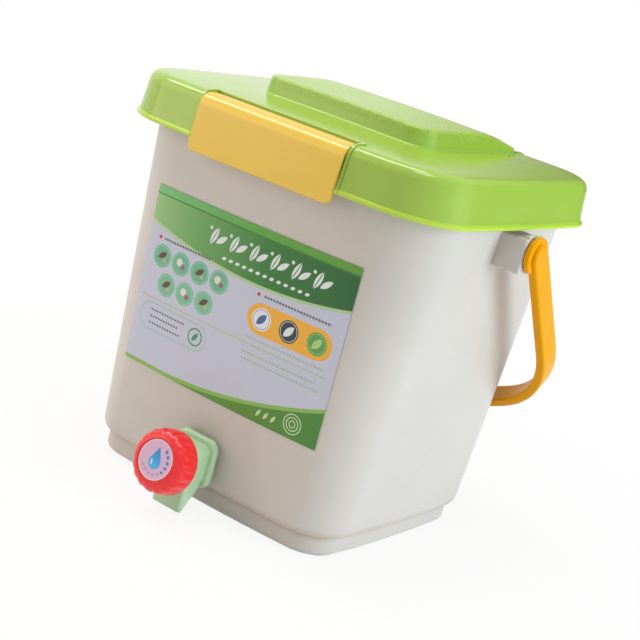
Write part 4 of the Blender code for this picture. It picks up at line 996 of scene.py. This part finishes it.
class Nodes:
    """A node tree that grows node by node."""

    def __init__(self, tree):
        self.tree = tree

    def node(self, kind, settings=(), inputs=(), output=0):
        made = self.tree.nodes.new(kind)
        for key, value in dict(settings).items():
            setattr(made, key, value)
        pairs = inputs.items() if isinstance(inputs, dict) else enumerate(inputs)
        for key, value in pairs:
            if isinstance(value, Wire):
                self.link(value, made.inputs[key])
            else:
                made.inputs[key].default_value = value
        return Wire(self, made.outputs[output])

    def link(self, wire, socket):
        self.tree.links.new(wire.socket, socket)

    def axes(self, vector):
        separate = self.node("ShaderNodeSeparateXYZ", inputs=[vector]).socket.node
        return [Wire(self, separate.outputs[name]) for name in "XYZ"]

    def ray(self, kind):
        """1 for rays of this kind, otherwise 0."""
        return self.node("ShaderNodeLightPath", output=f"Is {kind} Ray")

    def mix(self, share, first, second):
        inputs = {"Factor": share, "A": opaque(first), "B": opaque(second)}
        return self.node("ShaderNodeMix", {"data_type": "RGBA"}, inputs, output="Result")


class Paint(Nodes):
    """One material, with its plain values set on the shader itself."""

    def __init__(self, name, colour, roughness, **plain):
        self.material = bpy.data.materials.new(name)
        self.material.use_nodes = True
        super().__init__(self.material.node_tree)
        self.shader = self.tree.nodes["Principled BSDF"]
        plain = {"Base Color": opaque(colour), "Roughness": roughness, **plain}
        for key, value in plain.items():
            self.shader.inputs[key.replace("_", " ")].default_value = value
        self.roughness = roughness
        self.where = self.node("ShaderNodeTexCoord", output="Object")

    def noise(self, scale, detail, roughness, distortion=0.0):
        inputs = {"Vector": self.where, "Scale": scale, "Detail": detail,
                  "Roughness": roughness, "Distortion": distortion}
        return self.node("ShaderNodeTexNoise", inputs=inputs)

    def feed(self, name, wire):
        self.link(wire, self.shader.inputs[name])

    def tone(self):
        """What feeds the base colour now."""
        return Wire(self, self.shader.inputs["Base Color"].links[0].from_socket)

    def bump(self, *layers):
        """Bump from (height wire, depth in metres) layers, one on another."""
        inputs = {}
        for height, depth in layers:
            inputs.update({"Height": height, "Strength": 1.0, "Distance": depth})
            inputs["Normal"] = self.node("ShaderNodeBump", inputs=inputs)
        self.feed("Normal", inputs["Normal"])


class Artwork(Paint):
    """Flat print in sRGB colours. Shapes are distances in metres, laid one on another."""

    def __init__(self, name, ground, roughness, centre, lean=0.0):
        self.top = linear(ground)
        super().__init__(name, self.top, roughness)
        x, _, z = self.axes(self.where)
        self.u, self.v = x - centre[0], (z - centre[1]) * (1 / math.cos(lean))

    def local(self, place, at):
        u, v = at or (self.u, self.v)
        return u - place[0], v - place[1]

    def length(self, u, v):
        return (u * u + v * v).math("SQRT")

    def disc(self, place, radius, at=None):
        return self.length(*self.local(place, at)) - radius

    def panel(self, place, half, corner, at=None):
        u, v = self.local(place, at)
        u, v = u.abs() - (half[0] - corner), v.abs() - (half[1] - corner)
        return self.length(u.max(0.0), v.max(0.0)) - corner

    def leaf(self, place, half_length, half_width, degrees, at=None):
        """The lens where two equal circles overlap, turned to lie along a direction."""
        radius = (half_length**2 + half_width**2) / (2 * half_width)
        cos, sin = math.cos(radians(degrees)), math.sin(radians(degrees))
        u, v = self.local(place, at)
        along, across = u * cos + v * sin, (v * cos - u * sin).abs()
        return self.length(along, across + (radius - half_width)) - radius

    def ramp(self, share, *stops):
        made = self.node("ShaderNodeValToRGB", inputs=[share])
        elements = made.socket.node.color_ramp.elements
        while len(elements) < len(stops):
            elements.new(0.5)
        for element, (place, colour) in zip(elements, stops):
            element.position = place
            element.color = opaque(linear(colour))
        return made

    def inside(self, distance):
        """1 inside a shape, falling to 0 across its soft edge."""
        return (distance * (-1 / PRINT_SOFT) + 0.5).clamped()

    def lay(self, mask, colour, within=None):
        mask = mask if within is None else mask * within
        colour = colour if isinstance(colour, Wire) else linear(colour)
        self.top = self.mix(mask, self.top, colour)

    def fill(self, distance, colour, within=None):
        self.lay(self.inside(distance), colour, within)

    def stroke(self, distance, width, colour, within=None):
        self.lay(self.inside(distance.abs() - width / 2), colour, within)

    def finish(self):
        self.feed("Base Color", self.top)
        self.feed("Roughness", self.noise(*PRINT_SHEEN) * 0.1 + (self.roughness - 0.05))
        self.bump((self.noise(*PRINT_WAVES), 0.00008), (self.noise(*PRINT_GRAIN), 0.000003))
        return self


def label_print():
    """Green header and foot with an arc edge, mint discs, an amber bar with badges, rules, dots."""
    art = Artwork("label_print", 0xC4CADE, 0.34, (0.0, sum(LABEL_Z) / 2))
    u, v, fill, stroke, inside = art.u, art.v, art.fill, art.stroke, art.inside
    disc, leaf, panel = art.disc, art.leaf, art.panel
    across = (u * (1 / (2 * LABEL_HALF[1])) + 0.5).clamped()
    white, ink, grey, sage = 0xE2E8EC, 0x464E54, 0x686E78, 0xA0B298
    jade, thin, large, small = 0x348E60, 0.0004, 0.001, 0.00078

    # Header: its arc edge with a pale line below, a strip on top, a row of sprigs and beads.
    arc_edge = (u - 0.012) * (u - 0.012) * 1.35 + 0.0275
    fill(arc_edge - 0.0022 - v, 0xB0CE96)
    # Painted reflection: the header's green and its top strip turn paler towards the left, a
    # washed-out reflection laid over the print's own green.
    green_and_painted_reflection = art.ramp(across, (0.0, 0x96C684), (0.25, 0x6CA85C), (0.6, 0x367C32), (1.0, 0x1E6028))
    fill(arc_edge - v, green_and_painted_reflection)
    strip_and_painted_reflection = art.ramp(across, (0.0, 0x76C482), (0.5, 0x60AA42), (1.0, 0x5C9C2C))
    fill(0.0612 - v, strip_and_painted_reflection)
    stroke(v - 0.0605, 0.0009, 0x348034)
    sprig, at = (-0.003, 0.0004), ((u - 0.009).wrapped(PRINT_PITCH), v - 0.047)
    vein = inside(leaf(sprig, 0.0074, 0.0002, 68, at).abs() - thin / 2)
    leaves = leaf(sprig, 0.0074, 0.0025, 68, at)
    leaves = leaves.min(leaf((0.004, -0.0006), 0.0058, 0.0021, 38, at))
    leaves = leaves.min(disc((-0.0072, 0.0052), 0.0013, at))
    fill(leaves.max(panel((0.0183, 0.047), (0.0558, 0.02), 0.001)), white, 1 - vein)
    beads = leaf((0.0, 0.0349), 0.0021, 0.0012, 20, (u.wrapped(PRINT_PITCH / 3), v))
    fill(beads.max(panel((0.019, 0.0349), (0.0404, 0.004), 0.001)), white)

    # Mint discs in two rows, with a leaf or two round shapes in each.
    for z, shift, reach, mint in (
        (0.0172, 0.0, 0.0372, 0x6CB696), (-0.0022, 0.0093, 0.0279, 0x7ABE9E),
    ):
        row = inside(panel((-0.0465, z), (reach, PRINT_PITCH / 2), 0.001))
        at = (u - shift).wrapped(PRINT_PITCH), v - z
        fill(disc((0, 0), 0.0086, at), mint, row)
        stroke(disc((0, 0), 0.0074, at), 0.0003, 0xB0E0C4, row)
        at = (u - shift).wrapped(PRINT_PITCH * 2), v - z
        fill(leaf((0.0, 0.0006), 0.0047, 0.0021, 35, at), 0x684230, row)
        fill(disc((0.0026, -0.0026), 0.0013, at), 0xCEBA78, row)
        at = (u - shift - PRINT_PITCH).wrapped(PRINT_PITCH * 2), v - z
        fill(disc((-0.0014, 0.001), 0.0029, at), 0xE2DED6, row)
        fill(disc((0.0022, -0.0016), 0.0021, at), 0x96687A, row)
    stroke(v + 0.0152, 0.0006, 0xAABA5C, inside(u.abs() - 0.0865))

    # Amber bar with three badges.
    bar_z = 0.005
    fill(panel((0.0485, bar_z), (0.0365, 0.0112), 0.0112), 0xF0B034)
    for x, outer, inner in (
        (0.0245, 0xE2E6F0, 0x4664A0), (0.0485, 0x2C3A42, 0xE0E6E8), (0.0725, 0x56A052, 0xAAD282),
    ):
        fill(disc((x, bar_z), 0.0082), outer)
        fill(leaf((x, bar_z), 0.0056, 0.0026, 50), inner)
        stroke(disc((x, bar_z), 0.007), thin, inner)

    # Rows of fine dots, with a red point before the first two, and a ring in a rounded panel.
    for z, start, end, size, tone in (
        (0.03, -0.076, -0.03, large, grey), (0.0215, 0.022, 0.08, large, grey),
        (-0.0235, -0.075, -0.04, small, ink), (-0.0285, -0.075, -0.046, small, ink),
        (-0.0335, -0.075, -0.043, small, ink), (-0.0105, 0.014, 0.083, small, sage),
        (-0.0215, 0.014, 0.078, small, sage), (-0.0265, 0.014, 0.083, small, sage),
    ):
        dots = panel((0.0, z), (size, size * 0.9), size * 0.5, (u.wrapped(0.0026), v))
        fill(dots, tone, inside((u - (start + end) / 2).abs() - (end - start) / 2))
    for point in ((-0.08, 0.03), (0.0175, 0.0215)):
        fill(disc(point, 0.0014), 0xC8363C)
    stroke(panel((-0.051, -0.0285), (0.033, 0.0098), 0.0098), 0.0005, 0x8CB8AC)
    stroke(disc((-0.0285, -0.0285), 0.0062), 0.0011, jade)
    fill(leaf((-0.0285, -0.0285), 0.0042, 0.0017, 55), jade)

    # Foot: a rising arc with a pale line above, three rings and three small leaves.
    rise = (u + 0.058).max(0.0)
    foot = rise * rise * 1.25 - 0.0668
    fill(v - foot - 0.003, 0x88B854)
    fill(v - foot, art.ramp(across, (0.2, 0x489A3A), (0.6, 0x5C8E2A), (1.0, 0x428630)))
    for radius in (0.0024, 0.0048, 0.0072):
        stroke(disc((0.069, -0.056), radius), 0.0007, 0xCEE2BE)
    for x in (0.04, 0.0465, 0.053):
        fill(leaf((x, -0.059), 0.0034, 0.0012, 60), 0xC4DCB0)
    return art.finish()


def sticker_print():
    """A blue drop on lilac, with beads on one side of it and small rings on the other."""
    depth = KNOB_REAR_Y - KNOB_FRONT_Y
    centre = (0.0, TAP_Z + depth * math.sin(KNOB_TILT))
    art = Artwork("sticker_print", 0xD6ACCA, 0.3, centre, KNOB_TILT)
    u, v = art.u, art.v
    art.lay((u * 40 + 0.5).clamped() * 0.5, 0xCEB2D6)
    art.fill(-1 * art.disc((0, 0), 0.0136), 0xE8C4CE)
    cone = (u.abs() * 0.892 + (v - 0.0097) * 0.452).max(0.00055 - v)
    blue = art.mix((v * 90 + 0.5).clamped(), linear(0x48B0E8), linear(0x2884CE))
    art.fill(art.disc((0.0, -0.0018), 0.0052).min(cone), blue)
    art.fill(art.leaf((-0.0026, -0.0022), 0.0024, 0.0008, 105), 0xBEE2F4)
    for i in range(5):
        first, second = (
            (BEAD_ORBIT * math.cos(angle), BEAD_ORBIT * math.sin(angle))
            for angle in (radians(52 - 22 * i), radians(-142 + 22 * i))
        )
        art.fill(art.disc(first, 0.0014 - 0.00008 * i), 0x4678BE)
        art.stroke(art.disc(second, 0.00075), 0.0004, 0x7A74A8)
    return art.finish()


def moulded(name, colour, roughness, grain, cloud, specular=0.5):
    """Moulded plastic: faint flow clouds, a fine satin grain and a little dust in its gloss."""
    paint = Paint(name, colour, roughness, Specular_IOR_Level=specular)
    flow = ((paint.noise(*CLOUDS) - 0.5) * 1.6 + 0.5).clamped()
    tone = paint.mix(flow, darker(colour, 1 - cloud), darker(colour, 1 + cloud * 0.4))
    speckle = ((paint.noise(*DUST) - 0.7) * 9.0).clamped() * 0.35
    paint.feed("Base Color", paint.mix(speckle, tone, darker(colour, 0.72)))
    paint.feed("Roughness", (paint.noise(*SMEAR) - 0.5) * 0.16 + roughness)
    paint.bump((paint.noise(*WAVES), WAVE_DEPTH), (paint.noise(*GRAIN), grain))
    return paint


def cream_plastic():
    """Satin off-white plastic, with a painted warm brown shade in the groove above its foot."""
    paint = moulded("cream_polypropylene", (0.63, 0.6, 0.57), 0.36, 0.000008, 0.06, 0.4)
    z = paint.axes(paint.where)[2]
    # Painted shade: a warm brown band darkens the groove above the foot, standing in for shade and
    # bounced light there.
    groove_shade = (1 - (z - (GROOVE_Z + 0.0015)).abs() * 180).clamped()
    paint.feed("Base Color", paint.mix(groove_shade * 0.5, paint.tone(), (0.46, 0.33, 0.23)))
    return paint


def lid_plastic():
    """Glossy lime plastic: a painted highlight brightens its thin lip; a fine grain on the raised
    platform.
    """
    paint = Paint("lime_polypropylene", LIME, LID_ROUGHNESS)
    z = paint.axes(paint.where)[2]
    tone = paint.mix(paint.noise(*CLOUDS), darker(LIME, 0.95), darker(LIME, 1.04))
    # Painted highlight: the thin lip is mixed towards a brighter lime, standing in for light caught
    # by its edge.
    lip_highlight = ((LIP_Z + LIP_HEIGHT * 1.3) - z) * 900
    tone = paint.mix(lip_highlight.clamped() * 0.8, tone, (0.5, 0.72, 0.05))
    raised = ((z - (LID_TOP_Z + 0.0085)) * 700).clamped()
    specks = paint.noise(*DECK_SPECKS)
    speckle = ((specks - 0.5) * 5.0).clamped() * raised
    paint.feed("Base Color", paint.mix(speckle * 0.55, tone, (0.2, 0.2, 0.05)))
    smear = (paint.noise(*SMEAR) - 0.5) * 0.12
    paint.feed("Roughness", smear + raised * 0.1 + LID_ROUGHNESS)
    paint.bump((paint.noise(*WAVES), WAVE_DEPTH), (specks * raised, 0.00003))
    return paint


def plated_steel():
    paint = Paint("plated_steel", (0.6, 0.6, 0.62), 0.3, Metallic=1.0)
    paint.feed("Roughness", paint.noise(*BRUSHING) * 0.3 + 0.18)
    return paint


def assign(paint, *names):
    for name in names:
        target = bpy.data.objects[name]
        target.data.materials.clear()
        target.data.materials.append(paint.material)


def make_materials():
    for name, values, *pieces in PLASTICS:
        assign(moulded(name, *values), *pieces)
    assign(cream_plastic(), "bucket_shell")
    assign(lid_plastic(), "lid_shell")
    assign(plated_steel(), "tap_knob_screw")
    assign(label_print(), "label_film")
    assign(sticker_print(), "sticker_disc")


# Studio.


def make_camera():
    azimuth, elevation = radians(CAMERA_AZIMUTH), radians(CAMERA_ELEVATION)
    back = Vector((
        math.sin(azimuth) * math.cos(elevation),
        -math.cos(azimuth) * math.cos(elevation),
        math.sin(elevation),
    ))
    right = Vector((0, 0, 1)).cross(back).normalized()
    roll = Matrix.Rotation(radians(CAMERA_ROLL), 3, "Z")
    turn = Matrix((right, back.cross(right), back)).transposed() @ roll
    lens = bpy.data.cameras.new("camera")
    lens.sensor_width = SENSOR
    lens.lens = CAMERA_FOCAL / IMAGE * SENSOR
    lens.clip_start, lens.clip_end = CAMERA_CLIP
    camera = bpy.data.objects.new("camera", lens)
    bpy.context.scene.collection.objects.link(camera)
    place = back * CAMERA_DISTANCE + Vector((0, 0, CAMERA_AIM_Z))
    camera.matrix_world = Matrix.Translation(place) @ turn.to_4x4()
    bpy.context.scene.camera = camera


def area_light(name, place, aim, size, power, colour):
    light = bpy.data.lights.new(name, "AREA")
    light.shape = "RECTANGLE"
    light.size, light.size_y = size
    light.energy, light.color = power, colour
    made = bpy.data.objects.new(name, light)
    made.location = place
    made.rotation_euler = (Vector(aim) - Vector(place)).to_track_quat("-Z", "Y").to_euler()
    bpy.context.scene.collection.objects.link(made)
    return made


def make_world():
    """White for the camera; a weaker warm light; a dark flag behind on the right in reflections."""
    world = bpy.data.worlds.new("studio")
    world.use_nodes = True
    bpy.context.scene.world = world
    nodes = Nodes(world.node_tree)
    camera, mirror, through = (nodes.ray(kind) for kind in RAYS)
    x, y, z = nodes.axes(nodes.node("ShaderNodeTexCoord", output="Generated"))
    azimuth = x.math("ARCTAN2", y)
    sides = ((azimuth + FLAG_FROM) * 7.0).clamped() * ((FLAG_TO - azimuth) * 4.0).clamped()
    flag = sides * ((FLAG_TOP - z) * 5.0).clamped()
    white = camera.max(through).max(mirror * (1 - flag * FLAG_DARK))
    strength = (1 - camera.max(mirror).max(through)) * AMBIENT + white
    colour = nodes.mix(white, AMBIENT_COLOUR, WHITE)
    background = nodes.tree.nodes["Background"]
    nodes.link(colour, background.inputs["Color"])
    nodes.link(strength, background.inputs["Strength"])


def make_floor():
    """White for the camera and in reflections, a little less near the object."""
    floor = primitive(
        "floor", bpy.ops.mesh.primitive_grid_add, x_subdivisions=8, y_subdivisions=8,
        size=STAGE_SIZE, location=(0, 0, STAGE_Z),
    )
    paint = Paint("pale_floor", (0.84, 0.83, 0.82), 0.6)
    glow = paint.node("ShaderNodeEmission", inputs={"Color": opaque(WHITE), "Strength": 1.0})
    camera, mirror, through = (paint.ray(kind) for kind in RAYS)
    away = paint.node("ShaderNodeVectorMath", {"operation": "LENGTH"}, [paint.where], "Value")
    share = ((away - STAGE_NEAR) * 2.6).clamped() * (1 - STAGE_GLOW) + STAGE_GLOW
    shown = camera.max(mirror).max(through) * share
    shader = Wire(paint, paint.shader.outputs[0])
    mixed = paint.node("ShaderNodeMixShader", inputs=[shown, shader, glow])
    paint.link(mixed, paint.tree.nodes["Material Output"].inputs["Surface"])
    floor.data.materials.append(paint.material)


def make_studio():
    make_camera()
    make_world()
    make_floor()
    for name, values in LIGHTS.items():
        light = area_light(name, *values)
        light.visible_glossy = name != "key"
    bpy.context.scene.view_settings.view_transform = "Standard"


make_bucket()
make_lid()
make_latch(-1, "front_latch_flap", "front_latch_body", "front_latch")
make_latch(1, "rear_latch_flap", "rear_latch_body", "rear_latch")
make_bail()
make_tap_body()
make_knob()
make_sticker()
make_label()
make_materials()
make_studio()
